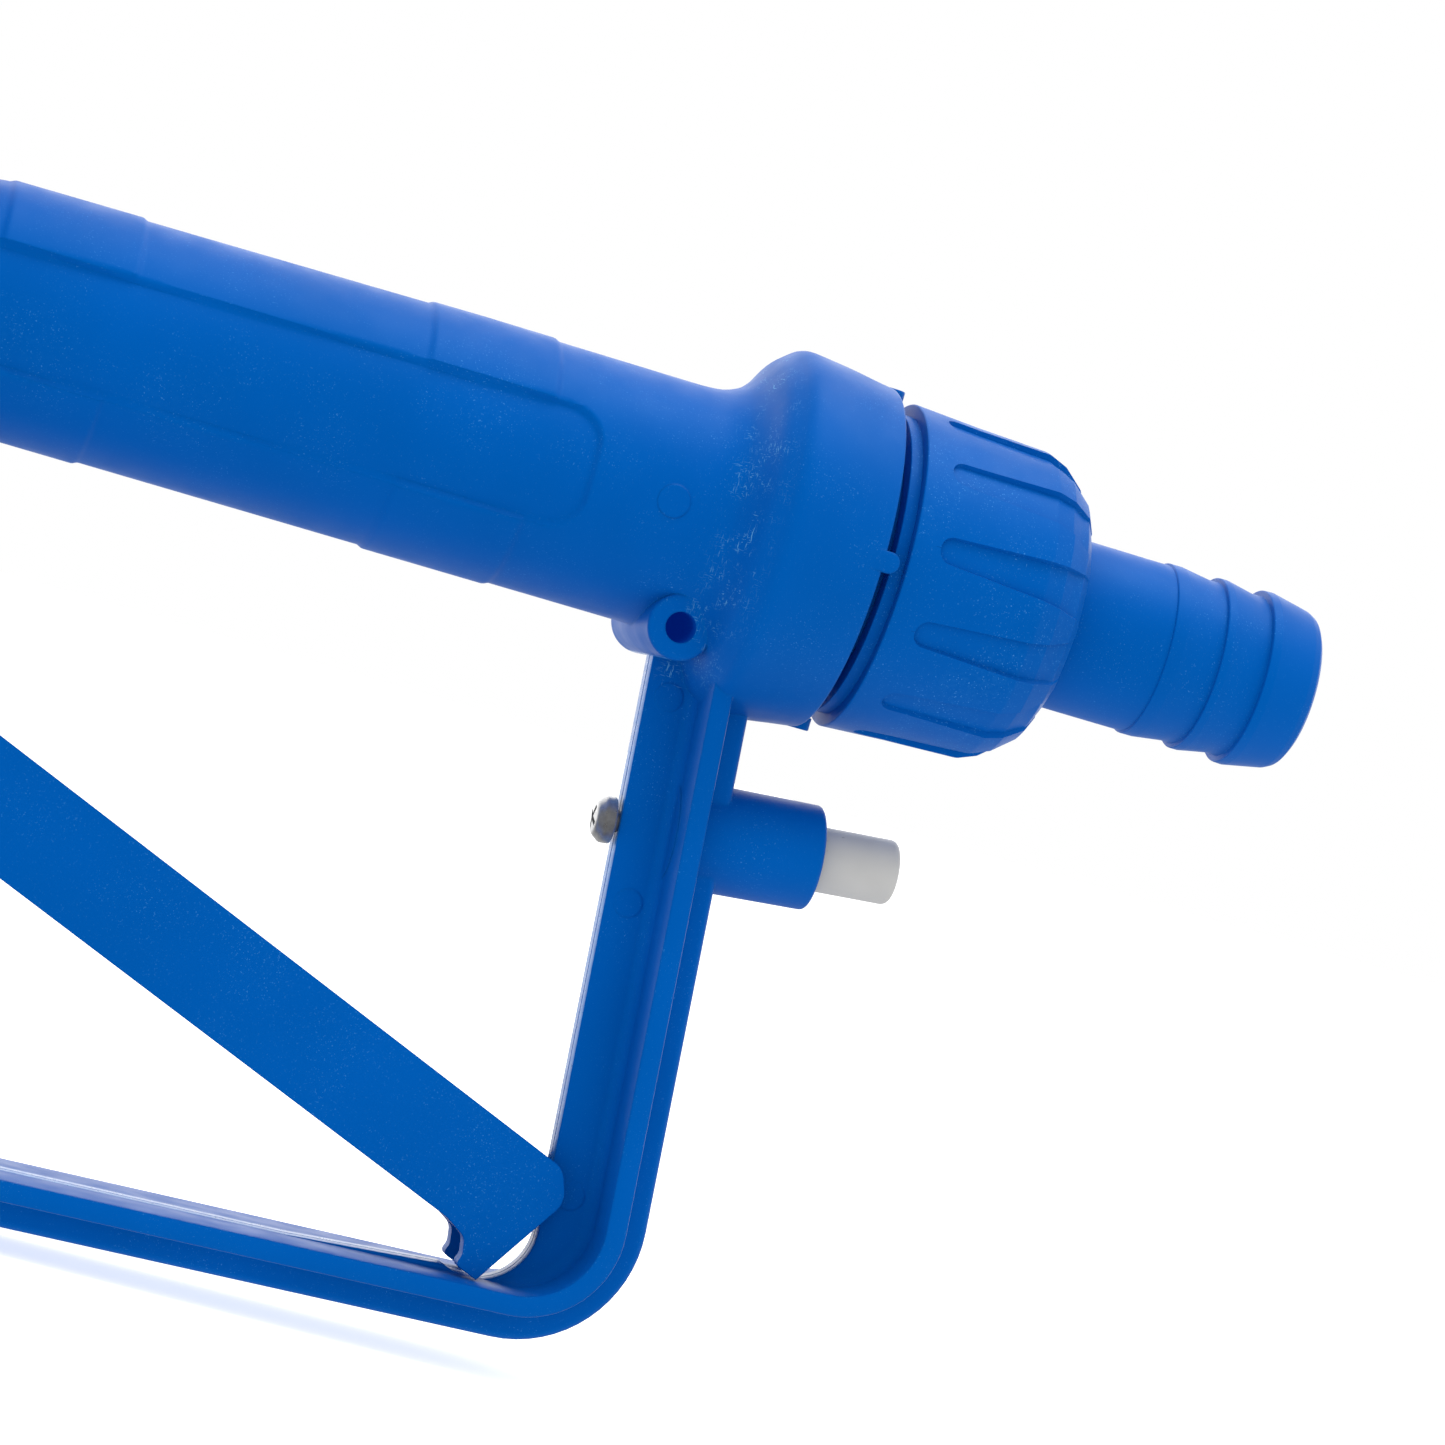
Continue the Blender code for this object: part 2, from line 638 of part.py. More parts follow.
def make_gland():
    gland = upright("gland_nut", [
        (-34.8, 2.8), (-34.8, 6.0), (-39.6, 6.0), (-39.6, 7.0), (-43.4, 7.0), (-43.4, 2.8),
    ], True, 24)
    paint(gland, WHITE, 0.4)
    paint(ring("stem_o_ring", 3.75, 0.9, (VALVE_X, 0.0, -33.5)), RUBBER, 0.7)


# Spout ----------------------------------------------------------------------------------

def spout_line(start_x, extra):
    """Points along the middle of the spout, from start_x to beyond its tip by extra."""
    points = [Vector((start_x, 0.0, OUTLET_Z))]
    centre = Vector((SPOUT_BEND_X, 0.0, OUTLET_Z - SPOUT_BEND_R))
    arcs = 8
    for index in range(arcs + 1):
        angle = SPOUT_BEND * index / arcs
        points.append(centre + Vector((-sin(angle), 0.0, cos(angle))) * SPOUT_BEND_R)
    way = Vector((-cos(SPOUT_BEND), 0.0, -sin(SPOUT_BEND)))
    points.append(points[-1] + way * (SPOUT_TIP_LENGTH + extra))
    return points


def make_spout():
    collar_x = SPOUT_THREAD_END_X - GASKET_THICKNESS - 2 * GAP
    spout = mesh_from_curve(tube("spout", spout_line(collar_x, 0.0), SPOUT_R, 8))
    collar = rod("spout_collar", SPOUT_THREAD_R, (collar_x - COLLAR_THICKNESS, 0, OUTLET_Z),
                 (collar_x + 0.01, 0, OUTLET_Z), 28)
    combine(spout, collar, "UNION")
    bore = mesh_from_curve(tube("spout_bore", spout_line(collar_x + 2, 2.0), SPOUT_BORE_R, 8))
    combine(spout, bore, "DIFFERENCE")
    paint(spout, BLUE, 0.4)
    gasket_x = SPOUT_THREAD_END_X - GAP
    make_washer("spout_gasket", gasket_x - GASKET_THICKNESS, gasket_x, SPOUT_BORE_R,
                SPOUT_THREAD_R, OUTLET_Z)


def make_spout_nut():
    lip_x = SPOUT_THREAD_END_X - GASKET_THICKNESS - COLLAR_THICKNESS - 3 * GAP
    nut = turned("spout_nut", [
        (-149.4, 11.4), (-149.4, 14.6), (-160.0, 14.3), (-164.0, 13.0), (-166.0, 9.9),
        (lip_x, 9.9), (lip_x, 11.4),
    ], hollow=True, centre=(0.0, 0.0, OUTLET_Z))
    flutes = []
    middle = Vector((0.0, 0.0, OUTLET_Z))
    for index in range(SPOUT_NUT_FLUTES):
        angle = 2 * pi * (index + 0.5) / SPOUT_NUT_FLUTES
        way = Vector((0.0, cos(angle), sin(angle)))
        start = middle + way * 15.7 + Vector((SPOUT_FLUTE_START_X, 0.0, 0.0))
        end = middle + way * 14.6 + Vector((SPOUT_FLUTE_END_X, 0.0, 0.0))
        flutes.append(rod(f"spout_flute_{index}", 1.8, start, end, 8, end_radius=2.1))
    combine_all(nut, "spout_nut_flutes", flutes, "DIFFERENCE")
    return paint(nut, BLUE, 0.45)


clear_scene()
NOZZLE = new_collection("dispensing_nozzle")
TOOLS = new_collection("cutters")
RIM = bpy.data.objects.new("flange_rim", None)
RIM.location = Vector(RIM_FROM_CENTRE) * MM
NOZZLE.objects.link(RIM)

make_body()
make_inlet_nut()
make_hose_tail()
make_washer("inlet_gasket", THREAD_END_X + GAP, 16.1, BORE_R, 14.6)
make_trigger()
make_pivot_pin()
make_latch()
make_valve()
make_valve_cap()
make_gland()
make_spout()
make_spout_nut()
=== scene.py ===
"""Looks of the hand-held dispensing nozzle: fine meshes and moulded-plastic materials.

Sizes are in millimetres from the rear rim of the body's flange, as in the CAD model: +X runs
along the grip to the hose tail, +Z is up. The rim itself is found from the inlet gasket's box.
"""

from math import atan2, cos, pi, radians, sin, sqrt, tan

import bmesh
import bpy
from mathutils import Matrix, Vector

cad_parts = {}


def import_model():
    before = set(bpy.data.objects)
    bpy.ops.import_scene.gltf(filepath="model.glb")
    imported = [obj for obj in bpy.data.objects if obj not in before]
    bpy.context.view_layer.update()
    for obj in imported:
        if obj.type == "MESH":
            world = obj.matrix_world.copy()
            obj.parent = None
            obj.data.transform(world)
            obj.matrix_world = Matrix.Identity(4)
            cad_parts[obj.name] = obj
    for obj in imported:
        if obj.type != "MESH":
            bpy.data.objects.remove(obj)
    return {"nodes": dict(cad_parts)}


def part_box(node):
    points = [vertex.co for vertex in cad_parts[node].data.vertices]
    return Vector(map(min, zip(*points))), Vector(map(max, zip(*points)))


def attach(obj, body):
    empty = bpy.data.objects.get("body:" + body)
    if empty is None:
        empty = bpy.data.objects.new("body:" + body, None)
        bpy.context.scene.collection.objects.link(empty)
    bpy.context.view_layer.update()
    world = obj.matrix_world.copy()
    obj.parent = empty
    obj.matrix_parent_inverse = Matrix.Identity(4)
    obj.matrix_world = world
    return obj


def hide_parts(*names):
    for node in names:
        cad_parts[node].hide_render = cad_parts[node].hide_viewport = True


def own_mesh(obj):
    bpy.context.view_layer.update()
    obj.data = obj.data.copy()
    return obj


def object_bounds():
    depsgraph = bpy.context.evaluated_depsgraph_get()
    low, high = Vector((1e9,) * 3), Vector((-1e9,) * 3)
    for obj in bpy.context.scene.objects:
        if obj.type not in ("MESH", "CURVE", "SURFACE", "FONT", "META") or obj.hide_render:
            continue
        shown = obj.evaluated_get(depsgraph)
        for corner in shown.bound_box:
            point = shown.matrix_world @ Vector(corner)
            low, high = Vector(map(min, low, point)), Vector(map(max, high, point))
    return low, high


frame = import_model()
cad_box = [list(corner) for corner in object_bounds()]

MM = 0.001
GASKET_REAR = 16.1
gasket_low, gasket_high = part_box("inlet_gasket")
RIM = Vector((gasket_high.x - GASKET_REAR * MM, 0.0, (gasket_low.z + gasket_high.z) / 2))

# Grip and flange
GRIP_R = 14.1
BAND_PROUD = 0.28
TAPER_START = -48.0
TAPER_SLOPE = 0.0135
BANDS = ((-54.0, -39.3), (-102.0, -87.0))
PANEL_DEPTH = 0.55
PANEL_END = -33.4
PANEL_CORNER = 4.2
PANEL_HALF = radians(28.8)
PANEL_DRIFT = radians(0.053)
PANEL_LEVEL_X = -68.0
BORE_R = 9.0
RIM_X = -0.5
RIM_R = 20.0
THREAD_R = 15.0
THREAD_END = 14.0
NUB_HALF = 1.2
NUB_END = 1.25
NUB_ROOT = -3.6

# Valve housing, outlet and spout
VALVE_X = -126.0
OUTLET_Z = -21.5
HOUSING_R = 18.0
HOUSING_TOP = 19.0
WAIST_R = 14.0
CHAMBER_R = 13.5
SEAT_Z = -9.5
NUT_ROOM_R = 6.6
NUT_ROOM_END = -14.0
STEM_HOLE_R = 2.75
SHOULDER_R = 13.2
SHOULDER_X = -149.0
SPOUT_THREAD_R = 11.0
SPOUT_THREAD_END = -156.0
SPOUT_R = 9.5
SPOUT_BORE_R = 8.0
SPOUT_START = -158.4
SPOUT_BEND_X = -215.0
SPOUT_BEND_R = 90.0
SPOUT_BEND = radians(32.0)
SPOUT_TIP = 45.0
SPOUT_TIP_BEVEL_X = 1.0
SPOUT_TIP_BEVEL_R = 0.5

# Guard, as distances outward from the rib's outer face
LEG_POINT = Vector((-10.5, -18.0))
LEG_LEAN = radians(5.0)
BAR_POINT = Vector((-51.0, -93.1))
BAR_SLOPE = radians(1.9)
FRONT_POINT = Vector((-160.0, -90.0))
FRONT_LEAN = radians(15.8)
LEG_TOP = -9.0
FRONT_TOP = -27.0
REAR_CORNER_R = 11.0
FRONT_CORNER_R = 14.0
RIB_THICKNESS = 2.4
RIB_HALF = 10.0
BAND_HEIGHT = 3.5
BAND_HALF = 4.5
WEB_HEIGHT = 5.8
WEB_HALF = 1.85
WEB_FILLET = 6.5
WEB_DRAFT = 0.25
COVE_ALONG = 1.5
COVE_ACROSS = 1.8

# Eye, pivot, trigger, latch
EYE = Vector((-18.56, 0.0, -13.07))
EYE_R = 3.75
EYE_HOLE_R = 1.75
EYE_HALF = 10.9
BORE_MARGIN = 0.05
PIVOT = Vector((-140.0, 0.0, -59.0))
PIN_R = 3.0
EAR_R = 8.4
EAR_INNER = 6.0
EAR_OUTER = 9.5
TRIGGER_HALF = 5.5
TRIGGER_EYE_R = 7.2
PAD_TOP = -56.3
FORK_HALF = 3.1
FORK_FLOOR = -21.4
LATCH_FACE = Vector((5.9, 0.0, -33.85))
LATCH_TILT = radians(5.0)
LATCH_WAY = Vector((cos(LATCH_TILT), 0.0, sin(LATCH_TILT)))
LATCH_BOSS_R = 6.05
LATCH_BOSS_END = -17.5
LATCH_BORE_R = 4.0
LATCH_BORE_END = -13.5
SCREW_HOLE_R = 1.3
BUTTON_R = 3.75
BUTTON_OUT = 9.6
BUTTON_IN = -5.4
SCREW_SEAT = -23.7

# Ejector marks of the mould
GRIP_MARK_R = 1.85
GRIP_MARK_X = -23.9
LEG_MARK_R = 1.62
LEG_MARK_PLACES = ((-15.8, -20.8), (-13.74, -44.4), (-10.8, -78.0))
LEG_MARK_LEAN = 0.058

# Photographer's place, from the rim, in millimetres, and the camera's turn
CAMERA_PLACE = Vector((-134.38, -561.40, -26.75))
CAMERA_AZIMUTH = radians(-12.63)
CAMERA_ELEVATION = radians(-0.49)
CAMERA_ROLL = radians(16.05)
SENSOR = 36.0
LENS = 126.26

# Worn stretch of the flange's fillet, from a first point to the X of a second
SCUFF_FROM = (-17.6, 0.0, -20.0)
SCUFF_TO = (-13.9, 0.0, 0.0)

# Light: strength of the surround, and the overhead softbox in metres and watts
DIFFUSE_LIGHT = 0.97
REFLECT_FRONT = 0.1
REFLECT_BACK = 2.2
REFLECT_BELOW = 0.25
TOP_PLACE = (0.30, -0.05, 0.9)
TOP_TARGET = (0.05, 0.0, 0.0)
TOP_SIZE = 0.7
TOP_POWER = 4.4
FLOOR_REACH = 30.0

# Colours as linear red, green, blue
BLUE = (0.0, 0.098, 0.437)
# A paler blue, used for the random frost haze and for the painted highlight on the web's inner edge.
BLUE_LIGHT = (0.04, 0.27, 0.68)
FLECK = (0.07, 0.31, 0.72)
# Faint painted glow of the eye hole's wall: an emission that stands in for light reaching inside the
# hole.
BORE_PAINTED_GLOW = (0.0, 0.008, 0.10)
SHEEN = (0.0, 0.35, 0.8)
SCUFF = (0.17, 0.52, 0.78)
WHITE = (0.52, 0.52, 0.515)
STEEL = (0.52, 0.52, 0.52)
RUBBER = (0.012, 0.012, 0.013)
FLOOR_SEEN = (0.93, 0.93, 0.93)
FLOOR_UNSEEN = (0.08, 0.08, 0.08)


# Shapes ---------------------------------------------------------------------------------

def world(point):
    """A point given in millimetres from the rim, in the row frame in metres."""
    return RIM + Vector(point) * MM


def add_object(name, data):
    obj = bpy.data.objects.new(name, data)
    bpy.context.scene.collection.objects.link(obj)
    return obj


def smooth(mesh, sharp=35.0):
    """Smooth shading that breaks at edges sharper than an angle in degrees."""
    mesh.shade_smooth()
    mesh.set_sharp_from_angle(angle=radians(sharp))


def face_outward(mesh):
    """Turns every face's normal outward."""
    shape = bmesh.new()
    shape.from_mesh(mesh)
    bmesh.ops.recalc_face_normals(shape, faces=shape.faces)
    shape.to_mesh(mesh)
    shape.free()


def mesh_object(name, vertices, faces, sharp=35.0):
    mesh = bpy.data.meshes.new(name)
    mesh.from_pydata([world(vertex) for vertex in vertices], [], faces)
    mesh.update()
    face_outward(mesh)
    smooth(mesh, sharp)
    return add_object(name, mesh)


def loft(name, rings, looped=False, sharp=35.0):
    """A skin over closed rings of equal point count, capped unless the rings close on themselves."""
    size = len(rings[0])
    vertices = [point for ring in rings for point in ring]
    faces = []
    spans = len(rings) if looped else len(rings) - 1
    for ring in range(spans):
        near = ring * size
        far = (ring + 1) % len(rings) * size
        for index in range(size):
            after = (index + 1) % size
            faces.append((near + index, near + after, far + after, far + index))
    if not looped:
        faces.append(tuple(reversed(range(size))))
        faces.append(tuple(range((len(rings) - 1) * size, len(rings) * size)))
    return mesh_object(name, vertices, faces, sharp)


def rounded(corners, segments=5, closed=True):
    """An outline through corners (a, b, radius), with an arc at each corner that has one."""
    outline = []
    for index, (a, b, radius) in enumerate(corners):
        here = Vector((a, b))
        if radius == 0:
            outline.append(here)
            continue
        before = (Vector(corners[index - 1][:2]) - here).normalized()
        after = (Vector(corners[(index + 1) % len(corners)][:2]) - here).normalized()
        half = before.angle(after) / 2
        centre = here + (before + after).normalized() * radius / sin(half)
        start = here + before * radius / tan(half) - centre
        end = here + after * radius / tan(half) - centre
        first = atan2(start.y, start.x)
        sweep = (atan2(end.y, end.x) - first + pi) % (2 * pi) - pi
        for step in range(segments + 1):
            angle = first + sweep * step / segments
            outline.append(centre + Vector((cos(angle), sin(angle))) * radius)
    return outline


def axes_of(way):
    """Two directions across an axis."""
    way = Vector(way).normalized()
    side = way.cross(Vector((0.0, 1.0, 0.0)))
    if side.length < 0.1:
        side = way.cross(Vector((1.0, 0.0, 0.0)))
    side.normalize()
    return side, way.cross(side)


def turned(name, profile, centre, way=(1.0, 0.0, 0.0), steps=96, hollow=False, shape=None):
    """Turns profile corners (along, radius, fillet); shape(along, angle, radius) adds to a radius."""
    centre = Vector(centre)
    way = Vector(way).normalized()
    side, other = axes_of(way)
    rings = []
    for along, radius in rounded(profile):
        ring = []
        for step in range(steps):
            angle = 2 * pi * step / steps
            reach = radius + (shape(along, angle, radius) if shape else 0.0)
            ring.append(centre + way * along + (side * cos(angle) + other * sin(angle)) * reach)
        rings.append(ring)
    return loft(name, rings, looped=hollow)


def rod(name, radius, start, end, edge=0.0, steps=64):
    """A round bar, with softened ends where edge is given."""
    start = Vector(start)
    end = Vector(end)
    length = (end - start).length
    profile = [(0.0, radius, edge), (length, radius, edge)]
    if edge:
        profile = [(0.0, 0.05, 0)] + profile + [(length, 0.05, 0)]
    return turned(name, profile, start, end - start, steps)


def plate(name, outline, low, high, edge=0.0, segments=3):
    """An outline in the XZ plane thickened along Y, with rounded edges."""
    count = len(outline)
    vertices = [(point.x, low, point.y) for point in outline]
    vertices += [(point.x, high, point.y) for point in outline]
    faces = [tuple(range(count)), tuple(reversed(range(count, 2 * count)))]
    for index in range(count):
        after = (index + 1) % count
        faces.append((index, index + count, after + count, after))
    obj = mesh_object(name, vertices, faces)
    if edge:
        bevel = obj.modifiers.new("edge", "BEVEL")
        bevel.width = edge * MM
        bevel.segments = segments
        bevel.limit_method = "ANGLE"
        bevel.angle_limit = radians(50)
        bevel.harden_normals = False
    return obj


def crosswise(point, half):
    """The ends of a line that runs across the part, through a point."""
    reach = Vector((0.0, half, 0.0))
    return point - reach, point + reach


def combine(obj, other, operation):
    """Joins or cuts, and leaves the result as a plain mesh."""
    modifier = obj.modifiers.new(other.name, "BOOLEAN")
    modifier.operation = operation
    modifier.object = other
    settle(obj)
    bpy.data.objects.remove(other)


def drill(obj, name, radius, start, end):
    """Cuts a round hole from one point to another."""
    combine(obj, rod(name, radius, start, end), "DIFFERENCE")


def drill_valve(obj, name, radius, top, bottom):
    """Cuts a round hole on the valve's upright axis."""
    drill(obj, name, radius, (VALVE_X, 0.0, top), (VALVE_X, 0.0, bottom))


def settle(obj):
    """Applies every modifier."""
    evaluated = obj.evaluated_get(bpy.context.evaluated_depsgraph_get())
    mesh = bpy.data.meshes.new_from_object(evaluated)
    obj.modifiers.clear()
    obj.data = mesh
    smooth(mesh)


def join(name, objects):
    """Several meshes as one object."""
    shape = bmesh.new()
    for obj in objects:
        settle(obj)
        shape.from_mesh(obj.data)
    mesh = bpy.data.meshes.new(name)
    shape.to_mesh(mesh)
    shape.free()
    smooth(mesh)
    for obj in objects:
        bpy.data.objects.remove(obj)
    return add_object(name, mesh)


def spline(points, steps=5):
    """A smooth curve through points, from the second to the last but one."""
    points = [Vector(point) for point in points]
    curve = []
    for a, b, c, d in zip(points, points[1:], points[2:], points[3:]):
        for step in range(steps):
            t = step / steps
            curve.append(0.5 * (2 * b + (c - a) * t + (2 * a - 5 * b + 4 * c - d) * t ** 2
                                + (3 * b - a - 3 * c + d) * t ** 3))
    return curve


def ease(value, low, high):
    """0 below low, 1 above high, smooth between."""
    share = min(max((value - low) / (high - low), 0.0), 1.0)
    return share * share * (3 - 2 * share)


# Materials ------------------------------------------------------------------------------

class Nodes:
    """A short way to build the node tree of a material or a world."""

    def __init__(self, owner, shader="Principled BSDF"):
        owner.use_nodes = True
        self.owner = owner
        self.tree = owner.node_tree
        self.shader = self.tree.nodes[shader]

    def add(self, kind, inputs=None, **settings):
        node = self.tree.nodes.new(kind)
        for key, value in settings.items():
            setattr(node, key, value)
        for key, value in (inputs or {}).items():
            if isinstance(value, bpy.types.NodeSocket):
                self.tree.links.new(value, node.inputs[key])
            else:
                node.inputs[key].default_value = value
        return node

    def link(self, output, target):
        self.tree.links.new(output, self.shader.inputs[target])

    def fix(self, values):
        """Gives the shader its plain values."""
        for key, value in values.items():
            self.shader.inputs[key].default_value = value

    def place(self, space="Object"):
        return self.add("ShaderNodeTexCoord").outputs[space]

    def noise(self, place, scale, detail=2.0, rough=0.5):
        node = self.add("ShaderNodeTexNoise", {"Vector": place, "Scale": scale, "Detail": detail,
                                               "Roughness": rough})
        return node.outputs["Fac"]

    def ramp(self, value, low, high, start=0.0, end=1.0):
        node = self.add("ShaderNodeMapRange", {"Value": value, "From Min": low, "From Max": high,
                                               "To Min": start, "To Max": end})
        return node.outputs["Result"]

    def math(self, operation, first, second):
        return self.add("ShaderNodeMath", {0: first, 1: second}, operation=operation).outputs[0]

    def mix(self, share, first, second):
        node = self.add("ShaderNodeMix", {"Factor": share, "A": first, "B": second},
                        data_type="RGBA")
        return node.outputs["Result"]

    def bump(self, height, strength, distance):
        node = self.add("ShaderNodeBump", {"Height": height, "Strength": strength,
                                           "Distance": distance})
        return node.outputs["Normal"]


def rgba(colour, share=1.0):
    return (*(channel * share for channel in colour), 1.0)


def blue_plastic(name, frost=0.35, scuffs=False, soften=0.0):
    """Matte moulded plastic with fine pale flecks, worn frost and scuffs on the flange's fillet."""
    nodes = Nodes(bpy.data.materials.new(name))
    place = nodes.place()
    drift = nodes.noise(place, 45.0, 3.0)
    colour = nodes.mix(nodes.ramp(drift, 0.3, 0.7), rgba(BLUE, 0.95), rgba(BLUE, 1.05))
    cloud = nodes.ramp(nodes.noise(place, 110.0, 2.0), 0.44, 0.66)
    fleck = nodes.ramp(nodes.noise(place, 5200.0, 1.0), 0.66, 0.74)
    dense = nodes.ramp(cloud, 0.0, 1.0, 0.04 + 0.2 * frost, 0.22 + 0.6 * frost)
    fleck = nodes.math("MULTIPLY", fleck, dense)
    colour = nodes.mix(fleck, colour, rgba(FLECK))
    haze = nodes.ramp(nodes.noise(place, 1400.0, 4.0, 0.75), 0.45, 0.75)
    haze = nodes.math("MULTIPLY", nodes.math("MULTIPLY", haze, cloud), 0.13 * frost)
    colour = nodes.mix(haze, colour, rgba(BLUE_LIGHT))
    if scuffs:
        colour = nodes.mix(flange_scuffs(nodes, place), colour, rgba(SCUFF))
    nodes.link(colour, "Base Color")
    grain = nodes.noise(place, 3800.0, 2.0)
    wave = nodes.noise(place, 260.0, 2.0)
    nodes.link(nodes.ramp(wave, 0.3, 0.7, 0.42, 0.52), "Roughness")
    height = nodes.math("ADD", nodes.math("MULTIPLY", grain, 0.4), wave)
    normal = nodes.bump(height, 0.2, 0.00006)
    if soften:
        edge = nodes.add("ShaderNodeBevel", {"Radius": soften * MM}, samples=6)
        nodes.tree.links.new(edge.outputs["Normal"], normal.node.inputs["Normal"])
    nodes.link(normal, "Normal")
    nodes.fix({"Specular IOR Level": 0.22, "Specular Tint": rgba(SHEEN)})
    return nodes.owner


def bore_painted_shade_and_glow(name):
    """The dull wall of the narrow cored hole, its blue darkened as painted shade and given a faint
    painted glow, though it is no lamp.
    """
    nodes = Nodes(bpy.data.materials.new(name))
    place = nodes.place()
    # Painted shade: a darker copy of the body's blue for the hole's wall.
    tone = nodes.mix(nodes.noise(place, 600.0), rgba(BLUE, 0.6), rgba(BLUE, 0.8))
    nodes.link(tone, "Base Color")
    nodes.link(nodes.bump(nodes.noise(place, 2500.0), 0.2, 0.00006), "Normal")
    # Painted light: the wall glows faintly, though it is no lamp.
    nodes.fix({"Roughness": 0.95, "Specular IOR Level": 0.0, "Emission Color": rgba(BORE_PAINTED_GLOW),
               "Emission Strength": 1.0})
    return nodes.owner


def parting_finish_and_painted_highlight(name):
    """The smoother face where the two halves of the mould meet, with its blue lightened as a painted
    highlight along the web's inner edge.
    """
    nodes = Nodes(bpy.data.materials.new(name))
    place = nodes.place()
    # Painted highlight: the edge's blue is mixed towards a paler blue; the lower roughness and
    # stronger specular below are real finish.
    tone = nodes.mix(nodes.noise(place, 900.0, 3.0), rgba(BLUE, 0.9), rgba(BLUE_LIGHT))
    nodes.link(tone, "Base Color")
    nodes.link(nodes.ramp(nodes.noise(place, 1500.0, 3.0), 0.3, 0.7, 0.26, 0.4), "Roughness")
    nodes.link(nodes.bump(nodes.noise(place, 1800.0, 3.0), 0.3, 0.0001), "Normal")
    nodes.fix({"Specular IOR Level": 0.45})
    return nodes.owner


def flange_scuffs(nodes, place):
    """Hair-fine scratches round the fillet between grip and flange."""
    across = nodes.add("ShaderNodeSeparateXYZ", {"Vector": place}).outputs
    low, high = world(SCUFF_FROM).x, world(SCUFF_TO).x
    fade = 1.5 * MM
    zone = nodes.math("MULTIPLY", nodes.ramp(across["X"], low - fade, low + fade),
                      nodes.ramp(across["X"], high - fade, high + fade, 1.0, 0.0))
    zone = nodes.math("MULTIPLY", zone,
                      nodes.ramp(across["Z"], world(SCUFF_FROM).z, world(SCUFF_FROM).z + fade))
    scratch = 0.0
    for scale, turn in (((1.0, 0.25, 0.12), (0.2, 0.5, 0.1)), ((0.16, 0.3, 1.0), (0.9, 0.2, 0.6))):
        streaks = nodes.add("ShaderNodeMapping", {"Vector": place, "Scale": scale,
                                                  "Rotation": turn}).outputs["Vector"]
        lines = nodes.ramp(nodes.noise(streaks, 6500.0, 2.0, 0.6), 0.60, 0.68)
        scratch = nodes.math("MAXIMUM", scratch, lines)
    patch = nodes.ramp(nodes.noise(place, 300.0, 2.0), 0.46, 0.62)
    return nodes.math("MULTIPLY", nodes.math("MULTIPLY", scratch, patch),
                      nodes.math("MULTIPLY", zone, 0.55))


def white_plastic(name):
    nodes = Nodes(bpy.data.materials.new(name))
    place = nodes.place()
    speck = nodes.ramp(nodes.noise(place, 1500.0, 1.0), 0.76, 0.80)
    tone = nodes.mix(nodes.ramp(nodes.noise(place, 160.0, 2.0), 0.3, 0.7),
                     rgba(WHITE, 0.95), rgba(WHITE, 1.04))
    nodes.link(nodes.mix(nodes.math("MULTIPLY", speck, 0.5), tone, rgba(WHITE, 0.4)), "Base Color")
    nodes.link(nodes.ramp(nodes.noise(place, 300.0), 0.3, 0.7, 0.38, 0.5), "Roughness")
    nodes.link(nodes.bump(nodes.noise(place, 900.0), 0.15, 0.00005), "Normal")
    return nodes.owner


def steel(name):
    nodes = Nodes(bpy.data.materials.new(name))
    place = nodes.place()
    nodes.fix({"Metallic": 0.8})
    tone = nodes.mix(nodes.ramp(nodes.noise(place, 2600.0, 3.0), 0.35, 0.7),
                     rgba(STEEL, 0.9), rgba(STEEL, 1.1))
    nodes.link(tone, "Base Color")
    nodes.link(nodes.ramp(nodes.noise(place, 1800.0, 2.0), 0.3, 0.7, 0.27, 0.36), "Roughness")
    nodes.link(nodes.bump(nodes.noise(place, 1800.0, 2.0), 0.25, 0.00005), "Normal")
    return nodes.owner


def black_rubber(name):
    nodes = Nodes(bpy.data.materials.new(name))
    place = nodes.place()
    tone = nodes.mix(nodes.noise(place, 500.0), rgba(RUBBER, 0.8), rgba(RUBBER, 1.6))
    nodes.link(tone, "Base Color")
    nodes.link(nodes.ramp(nodes.noise(place, 800.0), 0.3, 0.7, 0.55, 0.75), "Roughness")
    nodes.link(nodes.bump(nodes.noise(place, 1500.0), 0.2, 0.00005), "Normal")
    return nodes.owner


def finish(obj, material, body, slot, *replaced):
    """Gives a piece its material and its body, and hides the CAD nodes that it stands for."""
    obj.data.materials.clear()
    obj.data.materials.append(material)
    for face in obj.data.polygons:
        face.material_index = 0
    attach(obj, body)
    if replaced:
        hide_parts(*replaced)
    return obj


# Body -----------------------------------------------------------------------------------

def in_panel(x, angle):
    """How far a point lies inside a side panel, in millimetres; negative is outside."""
    drift = (x - PANEL_LEVEL_X) * PANEL_DRIFT
    best = -99.0
    for middle in (0.0, pi):
        mirrored = angle if middle == 0.0 else pi - angle
        turn = (mirrored - drift + pi) % (2 * pi) - pi
        across = abs(turn) * GRIP_R - (PANEL_HALF * GRIP_R - PANEL_CORNER)
        along = x - (PANEL_END - PANEL_CORNER)
        outside = sqrt(max(across, 0.0) ** 2 + max(along, 0.0) ** 2)
        inside = min(max(across, along), 0.0)
        best = max(best, PANEL_CORNER - outside - inside)
    return best


